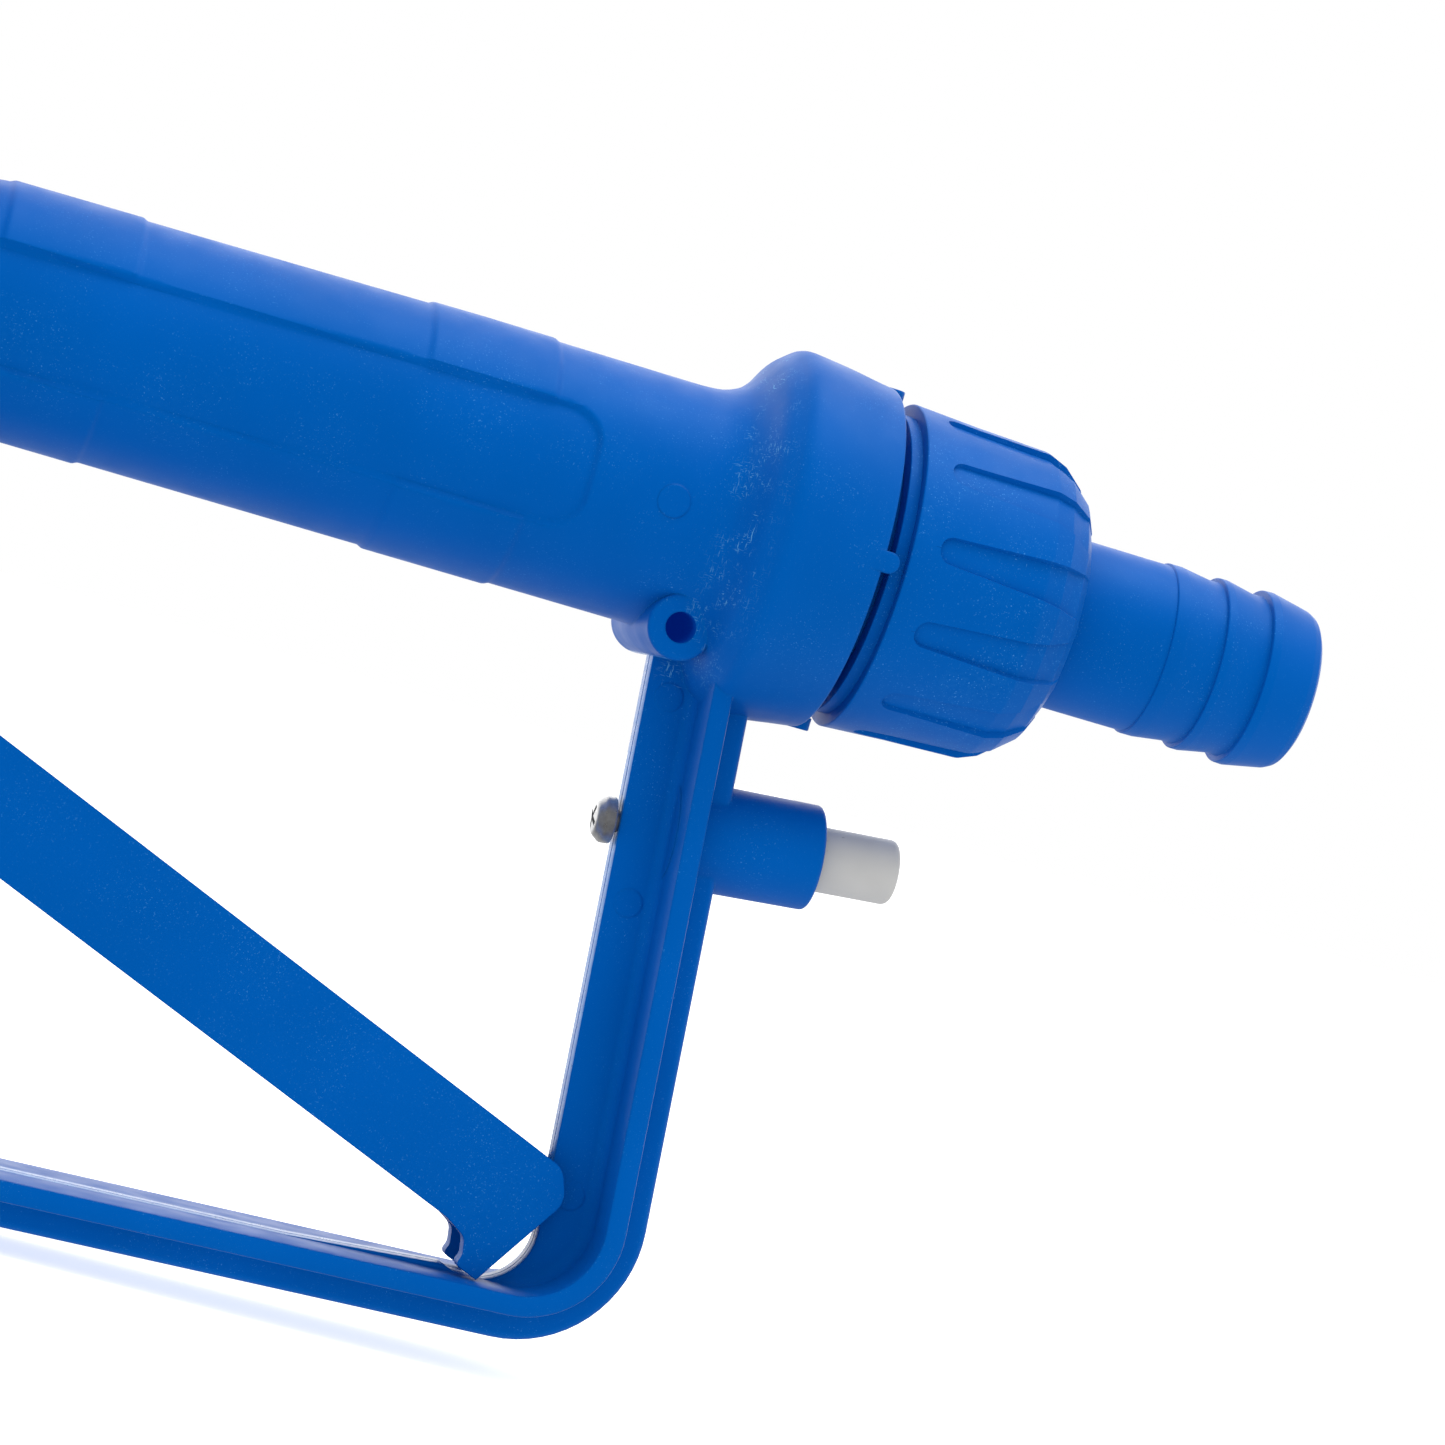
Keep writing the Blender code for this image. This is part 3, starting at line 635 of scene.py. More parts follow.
def grip_change(x, angle, radius):
    """Side panels sunk into the grip, bands over and under it, and the taper of its top."""
    if radius < GRIP_R - 2.5 or not -118.0 < x < -25.0:
        return 0.0
    depth_in = in_panel(x, angle)
    panel = ease(depth_in, -0.3, 0.3) * ease(x, -114.0, -108.0)
    band = 0.0
    for low, high in BANDS:
        band = max(band, ease(x, low - 0.4, low + 0.4) * ease(x, high + 0.4, high - 0.4))
    outside_panel = ease(depth_in, 0.3, -0.3)
    taper = max(TAPER_START - x, 0.0) * TAPER_SLOPE * (1 + sin(angle)) / 2
    return band * outside_panel * BAND_PROUD - panel * PANEL_DEPTH - taper


def even(low, high, count):
    """Evenly spaced values from low, stopping one short of high."""
    return [low + (high - low) * index / count for index in range(count)]


def grip():
    """The grip, flange and inlet thread: angle 0 faces the viewer's side, and each of the
    grip's stops starts a run with a count of rings, close where panels and bands begin."""
    stops = ((-21.9, 10), (-33.0, 22), (-38.2, 8), (-40.2, 12), (-53.2, 8), (-54.8, 18),
             (-86.2, 8), (-87.8, 10), (-101.4, 6), (-102.8, 0))
    outer = []
    for (start, count), (end, _) in zip(stops, stops[1:]):
        outer += [Vector((x, GRIP_R)) for x in even(start, end, count)]
    flange = rounded([
        (THREAD_END, BORE_R, 0), (THREAD_END, THREAD_R, 0.8), (RIM_X, THREAD_R, 0.3),
        (RIM_X, RIM_R, 0.35), (-3.0, 20.35, 0),
    ], 6)
    flange += spline([(-0.9, 20.05), (-3.0, 20.35), (-6.0, 20.8), (-9.5, 21.2), (-11.0, 21.3),
                      (-12.0, 21.05), (-12.9, 20.4), (-14.3, 19.1), (-15.5, 17.1), (-16.4, 15.95),
                      (-17.4, 15.1), (-19.3, 14.35), (-21.9, GRIP_R), (-24.0, GRIP_R)])
    front = [Vector(pair) for pair in ((-103.5, 14.0), (-106.5, 13.2), (-110.0, 12.6),
                                       (VALVE_X, 12.0), (VALVE_X, BORE_R))]
    profile = flange + outer + front
    steps = 256
    rings = []
    for along, radius in profile:
        ring = []
        for step in range(steps):
            angle = 2 * pi * step / steps
            reach = radius + grip_change(along, angle, radius)
            ring.append(Vector((along, -cos(angle) * reach, sin(angle) * reach)))
        rings.append(ring)
    return loft("grip", rings, looped=True, sharp=40.0)


def outward(way):
    return Vector((-way.y, way.x))


def guard_lines(distance):
    """The guard's three straight runs, moved outward by a distance."""
    ways = (
        (LEG_POINT, Vector((sin(LEG_LEAN), -cos(LEG_LEAN)))),
        (BAR_POINT, Vector((-cos(BAR_SLOPE), -sin(BAR_SLOPE)))),
        (FRONT_POINT, Vector((sin(FRONT_LEAN), cos(FRONT_LEAN)))),
    )
    return [(point + outward(way) * distance, way) for point, way in ways]


def meet(first, second):
    """Where two lines cross."""
    (point, way), (other_point, other_way) = first, second
    return point + way * ((other_point - point).cross(other_way) / way.cross(other_way))


def at_height(line, z):
    point, way = line
    return point + way * ((z - point.y) / way.y)


def ways_between(start, end, count=16):
    """Directions that turn evenly from one to another."""
    first = atan2(start.y, start.x)
    sweep = (atan2(end.y, end.x) - first + pi) % (2 * pi) - pi
    angles = [first + sweep * step / count for step in range(count + 1)]
    return [Vector((cos(angle), sin(angle))) for angle in angles]


def web_height(gap, way):
    """Height of the web at a place, by its gap from the centre of the web's round corner."""
    along = gap.dot(way)
    fillet = WEB_FILLET ** 2 - gap.cross(way) ** 2
    reach = along - sqrt(fillet) if fillet > 0 else along
    return min(max(reach - RIB_THICKNESS, 0.0), WEB_HEIGHT)


def guard_stations():
    """Places on the rib's outer face, each with its outward direction and web height."""
    leg, bar, front = guard_lines(0.0)
    leg_out, bar_out, front_out = [outward(way) for point, way in (leg, bar, front)]
    rear = meet(*guard_lines(-REAR_CORNER_R)[:2])
    ahead = meet(*guard_lines(-FRONT_CORNER_R)[1:])

    top = at_height(leg, LEG_TOP)
    corner_start = rear + leg_out * REAR_CORNER_R
    stations = [(top.lerp(corner_start, share), leg_out, WEB_HEIGHT)
                for share in (0.0, 0.2, 0.4, 0.6, 0.8)]

    places = [(rear + way * REAR_CORNER_R, way) for way in ways_between(leg_out, bar_out)]
    bar_start = rear + bar_out * REAR_CORNER_R
    places += [(bar_start + bar[1] * reach, bar_out) for reach in (1.0, 2.0, 3.0, 4.0, 5.5, 7.0)]
    centre = (rear - leg_out * (RIB_THICKNESS + WEB_HEIGHT + WEB_FILLET - REAR_CORNER_R)
              - bar_out * (RIB_THICKNESS + WEB_FILLET - REAR_CORNER_R))
    stations += [(place, way, web_height(place - centre, way)) for place, way in places]

    bar_end = ahead + bar_out * FRONT_CORNER_R
    stations += [(places[-1][0].lerp(bar_end, share), bar_out, 0.0)
                 for share in (0.15, 0.35, 0.55, 0.75, 0.95)]
    stations += [(ahead + way * FRONT_CORNER_R, way, 0.0)
                 for way in ways_between(bar_out, front_out)]
    end = at_height(front, FRONT_TOP)
    for share in (0.5, 1.0):
        stations.append((stations[-1][0].lerp(end, share), front_out, 0.0))
    return stations


def guard_half_section(web):
    """Half of the guard's section, from the web's inner edge round to the outer face."""
    inner = -RIB_THICKNESS
    web = max(web, 0.02)
    along = min(COVE_ALONG, max(web - 0.5, 0.02))
    root = WEB_HALF + WEB_DRAFT
    edge = inner - web
    soft = min(0.15, web / 2)
    points = [(edge + 0.16, 0.0), (edge + 0.14, 0.1), (edge, 0.17), (edge, WEB_HALF - soft)]
    points += [(edge + soft * 0.3, WEB_HALF - soft * 0.3), (edge + soft, WEB_HALF)]
    count = 14
    for step in range(count + 1):
        angle = pi / 2 * step / count
        points.append((inner - along + along * sin(angle), root + COVE_ACROSS * (1 - cos(angle))))
    points += [(inner, RIB_HALF - 0.4), (inner + 0.1, RIB_HALF - 0.12), (inner + 0.4, RIB_HALF)]
    points += [(-0.35, RIB_HALF), (-0.1, RIB_HALF - 0.1), (0.0, RIB_HALF - 0.35)]
    corner = 0.8
    for step in range(5):
        angle = pi / 2 * step / 4
        points.append((corner * (1 - cos(angle)), BAND_HALF + corner * (1 - sin(angle))))
    outer = 0.9
    for step in range(6):
        angle = pi / 2 * step / 5
        points.append((BAND_HEIGHT - outer + outer * sin(angle),
                       BAND_HALF - outer + outer * cos(angle)))
    points.append((BAND_HEIGHT, 0.0))
    return points


def guard():
    """The guard's closed skin, with its section swept through the stations."""
    rings = []
    for place, way, web in guard_stations():
        half = guard_half_section(web)
        section = [(out, -across) for out, across in half]
        section += [(out, across) for out, across in reversed(half[1:-1])]
        rings.append([Vector((place.x + way.x * out, across, place.y + way.y * out))
                      for out, across in section])
    return loft("guard", rings, sharp=32.0)


def parting_path():
    """The web's inner edge, as points seen from the side."""
    return [place - way * (RIB_THICKNESS + web) for place, way, web in guard_stations()]


def near_path(place, path):
    """Whether a point, seen from the side, lies on a path."""
    spot = Vector((place.x, place.z))
    for start, end in zip(path, path[1:]):
        run = end - start
        share = min(max((spot - start).dot(run) / run.length_squared, 0.0), 1.0)
        if (spot - start - run * share).length < 0.3:
            return True
    return False


def ears():
    """The two cheeks that hold the trigger's pin."""
    outline = rounded([
        (-146.5, -26.0, 0), (PIVOT.x + EAR_R, -26.0, 0),
        (PIVOT.x + EAR_R, PIVOT.z - EAR_R, EAR_R - 0.1), (-152.0, PIVOT.z - EAR_R, 4.0),
        (-151.6, -60.0, 0),
    ], 10)
    pieces = []
    for name, low, high in (("near", -EAR_OUTER, -EAR_INNER), ("far", EAR_INNER, EAR_OUTER)):
        ear = plate(f"ear_{name}", outline, low, high, 0.5)
        settle(ear)
        drill(ear, f"ear_hole_{name}", PIN_R + 0.1, *crosswise(PIVOT, 12.0))
        pieces.append(ear)
    return pieces


def housing():
    """The upright valve housing and the outlet that leaves it."""
    valve = turned("housing", [
        (HOUSING_TOP, CHAMBER_R, 0), (HOUSING_TOP, HOUSING_R, 0.5), (-7.0, HOUSING_R, 5.0),
        (-14.5, WAIST_R, 4.0), (-33.0, WAIST_R, 1.5), (-36.0, 11.5, 0.8), (-36.0, 9.5, 0.4),
        (-39.3, 9.5, 0.4), (-39.3, 6.3, 0), (-32.3, 6.3, 0), (-32.3, STEM_HOLE_R, 0),
        (SEAT_Z, STEM_HOLE_R, 0), (SEAT_Z, CHAMBER_R, 0),
    ], (VALVE_X, 0, 0), (0, 0, 1), 128, hollow=True)
    outlet_start = VALVE_X - 10.0
    outlet = turned("outlet", [
        (outlet_start, SPOUT_BORE_R, 0), (outlet_start, SHOULDER_R, 0),
        (SHOULDER_X, SHOULDER_R, 0.6), (SHOULDER_X, SPOUT_THREAD_R, 0),
        (SPOUT_THREAD_END, SPOUT_THREAD_R, 0.4), (SPOUT_THREAD_END, SPOUT_BORE_R, 0),
    ], (0, 0, OUTLET_Z), hollow=True)
    for piece in (valve, outlet):
        drill_valve(piece, "nut_room", NUT_ROOM_R, SEAT_Z + 0.5, NUT_ROOM_END)
    return [valve, outlet]


def nubs():
    """Four rounded tongues that reach over the gap from the flange's rim."""
    shapes = []
    for quarter in range(4):
        angle = quarter * pi / 2
        out = Vector((0.0, cos(angle), sin(angle)))
        side = Vector((1.0, 0.0, 0.0)).cross(out)
        outline = rounded([(NUB_ROOT, -NUB_HALF, 0), (NUB_END, -NUB_HALF, NUB_HALF - 0.05),
                           (NUB_END, NUB_HALF, NUB_HALF - 0.05), (NUB_ROOT, NUB_HALF, 0)], 10)
        rings = []
        for reach, inset in ((18.6, 0.0), (19.95, 0.0), (20.06, 0.06), (20.1, 0.2)):
            scale = 1 - inset / NUB_HALF
            rings.append([Vector((min(point.x, point.x * scale), 0.0, 0.0))
                          + side * point.y * scale + out * reach for point in outline])
        shapes.append(loft(f"nub_{quarter}", rings))
    return shapes


def mould_marks():
    """Round ejector marks on the grip and in the leg's hollow sides."""
    marks = []
    for side in (-1, 1):
        marks.append(rod("grip_mark", GRIP_MARK_R, (GRIP_MARK_X, side * 12.0, 0.0),
                         (GRIP_MARK_X, side * (GRIP_R + 0.08), 0.0), 0.08, 40))
        for x, z in LEG_MARK_PLACES:
            middle = Vector((x, side * 2.0, z))
            out = Vector((-LEG_MARK_LEAN, side, 0.0)).normalized()
            marks.append(rod("leg_mark", LEG_MARK_R, middle - out * 0.8, middle + out * 0.04,
                             0.04, 40))
    return marks


def latch_point(along):
    return LATCH_FACE + LATCH_WAY * along


def latch_boss():
    """The round boss on the guard's leg, bored for the button and the screw's shank."""
    return turned("latch_boss", [
        (LATCH_BOSS_END, SCREW_HOLE_R, 0), (LATCH_BOSS_END, LATCH_BOSS_R + 0.15, 0),
        (0.0, LATCH_BOSS_R, 0.6), (0.0, LATCH_BORE_R, 0.3), (LATCH_BORE_END, LATCH_BORE_R, 0),
        (LATCH_BORE_END, SCREW_HOLE_R, 0),
    ], LATCH_FACE, LATCH_WAY, 96, hollow=True)


def body_shells():
    """Grip, guard and eye boss, with the valve, the latch and the eye's hole bored through them."""
    grip_shell = grip()
    guard_shell = guard()
    eye_boss = rod("eye_boss", EYE_R, *crosswise(EYE, EYE_HALF), 0.5)
    for shell in (grip_shell, guard_shell, eye_boss):
        drill(shell, "eye_hole", EYE_HOLE_R, *crosswise(EYE, 14.0))
    for shell in (grip_shell, guard_shell):
        drill_valve(shell, "chamber", CHAMBER_R, HOUSING_TOP + 1.0, SEAT_Z)
        drill_valve(shell, "nut_room", NUT_ROOM_R, SEAT_Z + 0.5, NUT_ROOM_END)
        drill_valve(shell, "stem_passage", STEM_HOLE_R, SEAT_Z + 0.5, -42.0)
    drill(guard_shell, "latch_bore", LATCH_BORE_R, latch_point(-4.0), latch_point(LATCH_BORE_END))
    drill(guard_shell, "screw_hole", SCREW_HOLE_R, latch_point(-12.0), latch_point(-26.0))
    return [grip_shell, guard_shell, eye_boss]


def body_moulding():
    pieces = body_shells() + [latch_boss()] + ears() + housing() + nubs() + mould_marks()
    body = join("body_moulding", pieces)
    finish(body, blue_plastic("blue_body", scuffs=True, soften=0.35), "body", "blue_plastic", "body")
    # The eye hole's wall: painted shade and a faint painted glow.
    body.data.materials.append(bore_painted_shade_and_glow("blue_bore_painted_shade_and_glow"))
    # The web's inner edge: a smoother finish with a painted highlight.
    body.data.materials.append(parting_finish_and_painted_highlight("blue_parting_edge_and_painted_highlight"))
    bore_index, parting_highlight_index = 1, 2
    edge = parting_path()
    bore_reach = (EYE_HOLE_R + BORE_MARGIN) * MM
    for face in body.data.polygons:
        place = (face.center - RIM) / MM
        # Faces along the web's inner edge take the painted highlight.
        if abs(place.y) < WEB_HALF and abs(face.normal.y) < 0.8 and near_path(place, edge):
            face.material_index = parting_highlight_index
        away = face.center - world(EYE)
        if abs(face.normal.y) < 0.3 and max(abs(away.x), abs(away.z)) < bore_reach:
            face.material_index = bore_index


# Inlet ----------------------------------------------------------------------------------

def flute_half(x, spec):
    """Half the width of a flute at a place along the nut: a round start, then a widening run."""
    start, half_start, half_end, end = spec["start"], spec["half_start"], spec["half_end"], spec["end"]
    middle = start + half_start
    if x <= start:
        return 0.0
    if x < middle:
        return sqrt(half_start ** 2 - (middle - x) ** 2)
    return half_start + (half_end - half_start) * (x - middle) / (end - middle)


def flute_depth(x, spec):
    """Radial depth of a flute at a place along the nut, between pairs of place and depth."""
    pairs = spec["depths"]
    for (low, first), (high, last) in zip(pairs, pairs[1:]):
        if x < high:
            return first + (last - first) * max(x - low, 0.0) / (high - low)
    return pairs[-1][1]


def fluted_nut(name, outside, inside, centre, way, spec):
    """A turned nut whose flutes follow its mesh; angle 0 faces the viewer's side."""
    centre = Vector(centre)
    way = Vector(way)
    across = Vector((0.0, -1.0, 0.0))
    up = Vector((0.0, 0.0, 1.0))
    pitch = 2 * pi / spec["count"]
    soft = 0.07
    land_steps, flute_steps = 6, 7
    profile = [(point, True) for point in outside] + [(point, False) for point in inside]
    rings = []
    for point, fluted in profile:
        half = flute_half(point.x, spec) if fluted else 0.0
        deep = point.y - (flute_depth(point.x, spec) if half > 0 else 0.0)
        edge = min(soft, half / 2)
        outer = (half + edge + 0.01) / point.y
        inner = (half - edge) / point.y
        land = [(pitch / 2 - outer) * step / land_steps for step in range(land_steps + 1)]
        shape = [(-pitch / 2 + turn, point.y) for turn in land]
        shape += [(-inner + 2 * inner * step / flute_steps, deep)
                  for step in range(flute_steps + 1)]
        shape += [(outer + turn, point.y) for turn in land[:-1]]
        ring = []
        for index in range(spec["count"]):
            for turn, radius in shape:
                angle = spec["phase"] + pitch * index + turn
                ring.append(centre + way * point.x
                            + (across * cos(angle) + up * sin(angle)) * radius)
        rings.append(ring)
    return loft(name, rings, looped=True, sharp=28.0)


def split(points, step, start, reach):
    """Adds points to an open profile, crowded just after a flute's round start."""
    stops = [start, start + 0.004]
    stops += [start + reach * (index / 12) ** 2 for index in range(1, 13)]
    result = []
    for point, after in zip(points, points[1:]):
        result.append(point)
        low, high = min(point.x, after.x), max(point.x, after.x)
        count = int((after - point).length / step)
        inner = [point.x + (after.x - point.x) * index / count for index in range(1, count)]
        inner = [x for x in inner if not start - 0.3 < x < start + reach + 0.3]
        inner += [x for x in stops if low + 0.001 < x < high - 0.001]
        if high - low > 0.01:
            for x in sorted(inner, reverse=after.x < point.x):
                result.append(point.lerp(after, (x - point.x) / (after.x - point.x)))
    return result + [points[-1]]


def inlet_nut():
    spec = {"count": 12, "phase": radians(10.1), "start": 5.6, "half_start": 1.5, "half_end": 2.45,
            "end": 22.0, "depths": ((5.6, 0.5), (19.5, 0.75), (22.5, 0.6), (24.4, 0.25))}
    outside = rounded([
        (1.0, 15.4, 0), (1.0, 17.6, 0.15), (2.4, 17.6, 0),
        (2.42, 19.1, 0.2), (10.0, 18.65, 8.0), (18.8, 18.3, 1.5), (21.1, 17.4, 0.7),
        (23.7, 15.3, 0.8), (24.9, 13.0, 0.4), (24.9, 10.4, 0.3),
    ], 6)
    outside = split(outside, 0.6, spec["start"], spec["half_start"])
    inside = [Vector((19.3, 10.4)), Vector((19.3, 15.4))]
    nut = fluted_nut("inlet_union_nut", outside, inside, (0, 0, 0), (1, 0, 0), spec)
    return finish(nut, blue_plastic("blue_inlet_nut", frost=1.0), "inlet_nut", "blue_plastic",
                  "inlet_nut")


def hose_tail():
    tail = turned("barbed_hose_tail", [
        (55.7, 7.4, 0.25), (55.7, 8.2, 0.5), (55.2, 9.05, 0.8), (54.3, 9.5, 1.2), (49.8, 10.4, 0.3),
        (48.75, 10.35, 0.18), (48.7, 9.6, 0.12), (47.4, 9.6, 0), (44.1, 10.25, 0.3),
        (43.15, 10.25, 0.18), (43.1, 9.7, 0.12), (41.9, 9.7, 0), (38.4, 10.2, 0.3),
        (36.85, 10.2, 0.18), (36.8, 9.95, 0.1), (19.0, 9.95, 0), (19.0, 14.6, 0.3),
        (16.4, 14.6, 0.3), (16.4, 7.4, 0),
    ], (0, 0, 0), (1, 0, 0), 144, hollow=True)
    return finish(tail, blue_plastic("blue_hose_tail"), "hose_tail", "blue_plastic", "hose_tail")


# Trigger --------------------------------------------------------------------------------

def trigger():
    """The lever, slotted at its rear for the latch's screw and open at its foot."""
    outline = rounded([
        (-18.6, -72.75, 5.0), (-91.5, -43.3, 9.0), (-111.0, PAD_TOP, 8.0),
        (-140.0, PAD_TOP, 0), (-140.0, -65.6, 0), (-110.0, -65.6, 8.0), (-91.0, -56.9, 9.0),
        (-24.4, -83.55, 0.8), (-21.9, -85.2, 1.5), (-21.6, -87.2, 1.5), (-22.1, -88.4, 0.6),
        (-19.3, -89.5, 0.15), (-11.9, -78.6, 2.6), (-13.2, -74.95, 2.4),
    ], 7)
    lever = plate("lever", outline, -TRIGGER_HALF, TRIGGER_HALF, 1.0, 5)
    settle(lever)
    for name, front, rear, top in (("slot", FORK_FLOOR, -5.0, -66.0),
                                   ("notch", -27.0, -20.5, -84.4)):
        corners = [(front, top, 0), (rear, top, 0), (rear, -95.0, 0), (front, -95.0, 0)]
        combine(lever, plate(name, rounded(corners), -FORK_HALF, FORK_HALF), "DIFFERENCE")
    eye = rod("lever_eye", TRIGGER_EYE_R, *crosswise(PIVOT, TRIGGER_HALF + 0.1), 0.4)
    combine(lever, eye, "UNION")
    drill(lever, "lever_hole", PIN_R + 0.1, *crosswise(PIVOT, 8.0))
    lever.name = "trigger_lever"
    return finish(lever, blue_plastic("blue_trigger"), "trigger", "blue_plastic", "trigger")


# Latch and fasteners --------------------------------------------------------------------

def latch_button():
    button = turned("hold_open_button", [
        (BUTTON_OUT, 0.05, 0), (BUTTON_OUT, BUTTON_R, 0.9), (BUTTON_IN, BUTTON_R, 0.3),
        (BUTTON_IN, SCREW_HOLE_R, 0), (-0.6, SCREW_HOLE_R, 0), (-0.6, 0.05, 0),
    ], LATCH_FACE, LATCH_WAY, 72)
    return finish(button, white_plastic("white_button"), "latch", "white_plastic", "latch_button")


def latch_screw():
    """A pan head screw with a crossed recess."""
    screw = turned("latch_pan_screw", [
        (-1.0, 0.05, 0), (-1.0, 1.2, 0.2), (SCREW_SEAT, 1.2, 0), (SCREW_SEAT, 2.72, 0.2),
        (SCREW_SEAT - 1.2, 2.75, 0.7), (SCREW_SEAT - 2.2, 1.9, 0.8), (SCREW_SEAT - 2.4, 0.05, 0),
    ], LATCH_FACE, LATCH_WAY, 60)
    side, other = axes_of(LATCH_WAY)
    for index in range(2):
        turn = pi * index / 2 + 0.5
        way = side * cos(turn) + other * sin(turn)
        thin = LATCH_WAY.cross(way)
        corners = ((1.5, 0.3), (-1.5, 0.3), (-1.5, -0.3), (1.5, -0.3))
        rings = [[latch_point(along) + way * a + thin * b for a, b in corners]
                 for along in (SCREW_SEAT - 3.0, SCREW_SEAT - 1.5)]
        combine(screw, loft(f"screw_cross_{index}", rings), "DIFFERENCE")
    return finish(screw, steel("steel_screw"), "latch", "stainless_steel", "latch_screw")


# Front ----------------------------------------------------------------------------------

def spout_centres():
    """Places on the spout's centre line, each with the angle that it slopes down."""
    places = [(Vector((SPOUT_START, 0.0, OUTLET_Z)), 0.0)]
    centre = Vector((SPOUT_BEND_X, 0.0, OUTLET_Z - SPOUT_BEND_R))
    arcs = 32
    for index in range(arcs + 1):
        angle = SPOUT_BEND * index / arcs
        places.append((centre + Vector((-sin(angle), 0.0, cos(angle))) * SPOUT_BEND_R, angle))
    last = places[-1][0]
    way = Vector((-cos(SPOUT_BEND), 0.0, -sin(SPOUT_BEND)))
    for reach in (SPOUT_TIP - SPOUT_TIP_BEVEL_X, SPOUT_TIP):
        places.append((last + way * reach, SPOUT_BEND))
    return places


def spout():
    """The bent tube, with the collar that its nut holds."""
    steps = 96
    centres = spout_centres()
    outer = [(place, angle, SPOUT_R) for place, angle in centres[1:-1]]
    outer.append((*centres[-1], SPOUT_R - SPOUT_TIP_BEVEL_R))
    inner = [(place, angle, SPOUT_BORE_R) for place, angle in reversed(centres)]
    collar_end = Vector((SPOUT_START - 3.0, 0.0, OUTLET_Z))
    collar = [(centres[0][0], 0.0, SPOUT_THREAD_R), (collar_end, 0.0, SPOUT_THREAD_R),
              (collar_end, 0.0, SPOUT_R)]
    rings = []
    for place, angle, reach in collar + outer + inner:
        up = Vector((-sin(angle), 0.0, cos(angle)))
        turns = [2 * pi * step / steps for step in range(steps)]
        rings.append([place + (Vector((0.0, -cos(turn), 0.0)) + up * sin(turn)) * reach
                      for turn in turns])
    tube = loft("bent_spout", rings, looped=True)
    return finish(tube, blue_plastic("blue_spout"), "spout", "blue_plastic", "spout")


def spout_nut():
    spec = {"count": 10, "phase": radians(18.0), "start": 152.3, "half_start": 1.3,
            "half_end": 2.0, "end": 164.0, "depths": ((152.3, 0.5), (160.0, 0.7), (165.0, 0.3))}
    outside = rounded([(149.4, 11.4, 0), (149.4, 14.6, 0.3), (160.0, 14.3, 2.0),
                       (163.8, 13.2, 1.5), (166.0, 9.9, 0.3)], 6)
    outside = split(outside, 0.7, spec["start"], spec["half_start"])
    inside = [Vector((161.7, 9.9)), Vector((161.7, 11.4))]
    nut = fluted_nut("spout_union_nut", outside, inside, (0, 0, OUTLET_Z), (-1, 0, 0), spec)
    return finish(nut, blue_plastic("blue_spout_nut", frost=1.0), "spout_nut", "blue_plastic",
                  "spout_nut")


def valve_cap():
    """The screw cap over the valve, with finger lobes and a coin slot."""
    lobe_count = 18
    lobe_depth = 0.6

    def lobes(along, angle, radius):
        if along < 20.5 or radius < 16.0:
            return 0.0
        return -lobe_depth * ease(cos(angle * lobe_count), 0.1, 0.9)

    cap = turned("screw_cap", [
        (27.0, 0.05, 0), (27.0, 10.0, 0), (27.0, 15.6, 1.2), (25.5, 17.4, 1.5),
        (21.0, HOUSING_R, 0), (19.3, HOUSING_R, 0.3), (19.3, 13.2, 0), (17.1, 13.2, 0),
        (17.1, 11.3, 0), (14.5, 11.3, 0), (14.5, 13.2, 0), (9.0, 13.2, 0), (9.0, 7.4, 0),
        (14.0, 7.4, 0), (14.0, 0.05, 0),
    ], (VALVE_X, 0, 0), (0, 0, 1), 216, shape=lobes)
    slot = plate("coin_slot", rounded([(VALVE_X - 9, 24.5, 0), (VALVE_X + 9, 24.5, 0),
                                       (VALVE_X + 9, 29.0, 0), (VALVE_X - 9, 29.0, 0)]), -1.4, 1.4)
    combine(cap, slot, "DIFFERENCE")
    return finish(cap, blue_plastic("blue_cap"), "body", "blue_plastic", "valve_cap")


def springs():
    """The two return springs, copied from the CAD model with a steel finish."""
    places = (
        ("valve_spring", "valve_slide", Vector((0, 0, 1)), Vector((VALVE_X, 0, 13.7)), 0.56),
        ("latch_spring", "latch_slide", LATCH_WAY, latch_point(-13.2), 0.1),
    )
    for name, joint, way, fixed_end, keep in places:
        node = frame["nodes"][name]
        coil = add_object(f"{name}_coil", node.data.copy())
        coil.matrix_world = node.matrix_world.copy()
        finish(coil, steel(f"{name}_finish"), "body", "stainless_steel", name)
        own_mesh(coil)


def small_parts():
    """CAD pieces whose shape is right, with their own finishes."""
    finishes = {
        "white_plastic": (white_plastic, ("stem_foot", "valve_poppet", "gland_nut")),
        "stainless_steel": (steel, ("trigger_pin", "trigger_pin_clip", "valve_stem",
                                    "poppet_nut")),
        "black_rubber": (black_rubber, ("inlet_gasket", "spout_gasket", "poppet_seal",
                                        "cap_o_ring", "stem_o_ring")),
    }
    for make, nodes in finishes.values():
        for name in nodes:
            obj = frame["nodes"][name]
            for slot in obj.material_slots:
                slot.link = "OBJECT"
                slot.material = make(f"{name}_finish")


# Stage ----------------------------------------------------------------------------------

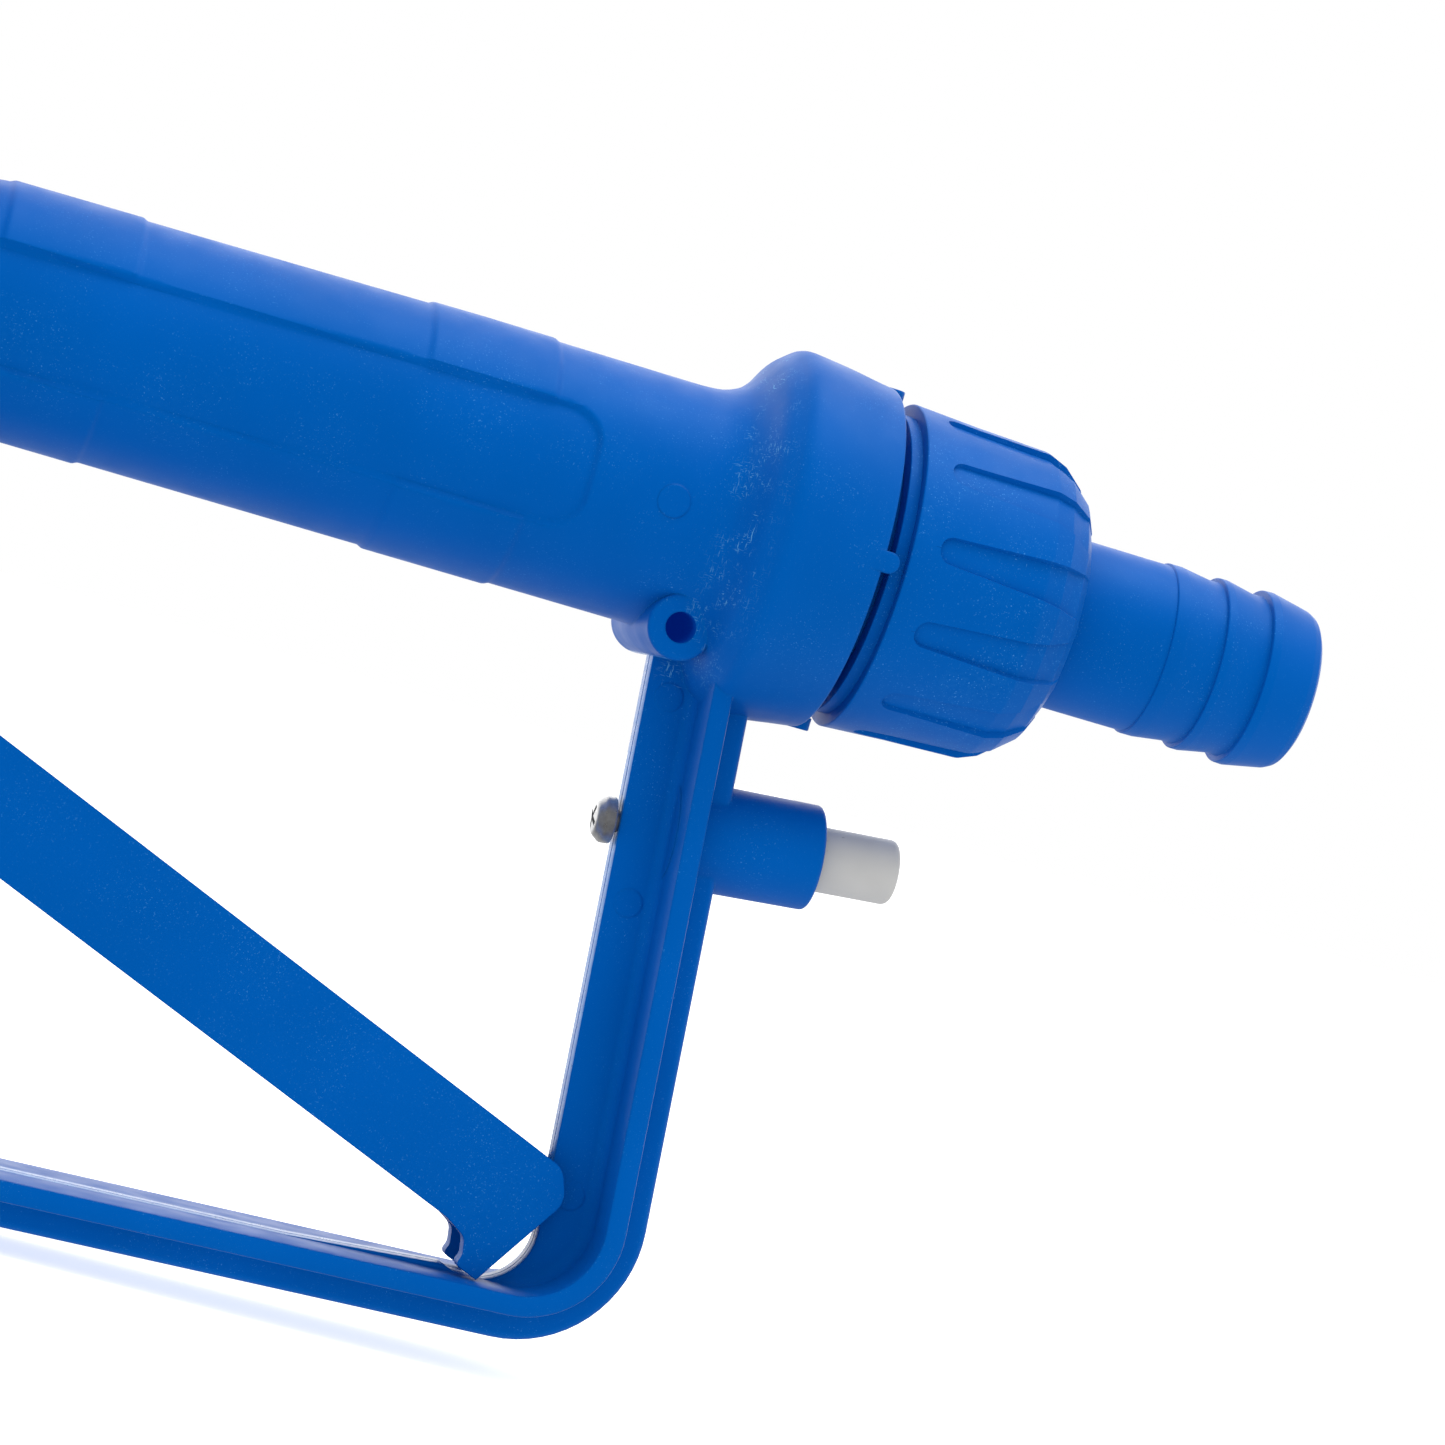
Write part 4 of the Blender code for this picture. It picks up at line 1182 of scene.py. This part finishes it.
def stage():
    """A pale floor under the object, in even white studio light."""
    low = cad_box[0][2]
    reach = FLOOR_REACH
    mesh = bpy.data.meshes.new("floor")
    mesh.from_pydata([(-reach, -reach, low), (reach, -reach, low), (reach, reach, low),
                      (-reach, reach, low)], [], [(0, 1, 2, 3)])
    floor = add_object("floor", mesh)
    nodes = Nodes(bpy.data.materials.new("pale_floor"))
    nodes.fix({"Roughness": 0.9, "Specular IOR Level": 0.0, "Emission Color": rgba((1.0, 1.0, 1.0))})
    seen = nodes.add("ShaderNodeLightPath").outputs["Is Camera Ray"]
    nodes.link(nodes.mix(seen, rgba(FLOOR_UNSEEN), rgba(FLOOR_SEEN)), "Base Color")
    nodes.link(nodes.ramp(seen, 0.0, 1.0, 0.95, 0.6), "Emission Strength")
    mesh.materials.append(nodes.owner)
    floor.visible_glossy = False


def surround():
    """A white world that mirrors darkly on the camera's side and from below."""
    nodes = Nodes(bpy.data.worlds.new("studio"), "Background")
    nodes.fix({"Color": rgba((1.0, 1.0, 1.0))})
    ray = nodes.add("ShaderNodeLightPath").outputs
    way = nodes.add("ShaderNodeSeparateXYZ", {"Vector": nodes.place("Generated")}).outputs
    behind = nodes.ramp(way["Y"], 0.1, 0.8, REFLECT_FRONT, REFLECT_BACK)
    raised = nodes.ramp(way["Z"], -0.4, 0.05, REFLECT_BELOW, 1.0)
    mirrored = nodes.math("MULTIPLY", behind, raised)
    strength = nodes.ramp(ray["Is Glossy Ray"], 0.0, 1.0, DIFFUSE_LIGHT, mirrored)
    nodes.link(nodes.ramp(ray["Is Camera Ray"], 0.0, 1.0, strength, 1.0), "Strength")
    bpy.context.scene.world = nodes.owner


def softbox():
    """A large round lamp overhead."""
    light = bpy.data.lights.new("top_softbox", "AREA")
    light.shape = "DISK"
    light.size = TOP_SIZE
    light.energy = TOP_POWER
    lamp = add_object("top_softbox", light)
    lamp.location = TOP_PLACE
    way = Vector(TOP_TARGET) - Vector(TOP_PLACE)
    lamp.rotation_euler = way.to_track_quat("-Z", "Y").to_euler()


def camera():
    """The photographer's camera: its three axes by azimuth, elevation and roll."""
    back = Vector((sin(CAMERA_AZIMUTH) * cos(CAMERA_ELEVATION),
                   -cos(CAMERA_AZIMUTH) * cos(CAMERA_ELEVATION), sin(CAMERA_ELEVATION)))
    level = Vector((cos(CAMERA_AZIMUTH), sin(CAMERA_AZIMUTH), 0.0))
    upright = back.cross(level)
    right = level * cos(CAMERA_ROLL) + upright * sin(CAMERA_ROLL)
    up = upright * cos(CAMERA_ROLL) - level * sin(CAMERA_ROLL)
    data = bpy.data.cameras.new("camera")
    data.sensor_width = SENSOR
    data.lens = LENS
    data.clip_start = 0.05
    data.clip_end = 100.0
    obj = add_object("camera", data)
    turn = Matrix((right, up, back)).transposed().to_4x4()
    obj.matrix_world = Matrix.Translation(world(CAMERA_PLACE)) @ turn
    bpy.context.scene.camera = obj


bpy.context.scene.view_settings.view_transform = "Standard"
camera()
surround()
softbox()
stage()
body_moulding()
inlet_nut()
hose_tail()
trigger()
latch_button()
latch_screw()
spout()
spout_nut()
valve_cap()
springs()
small_parts()
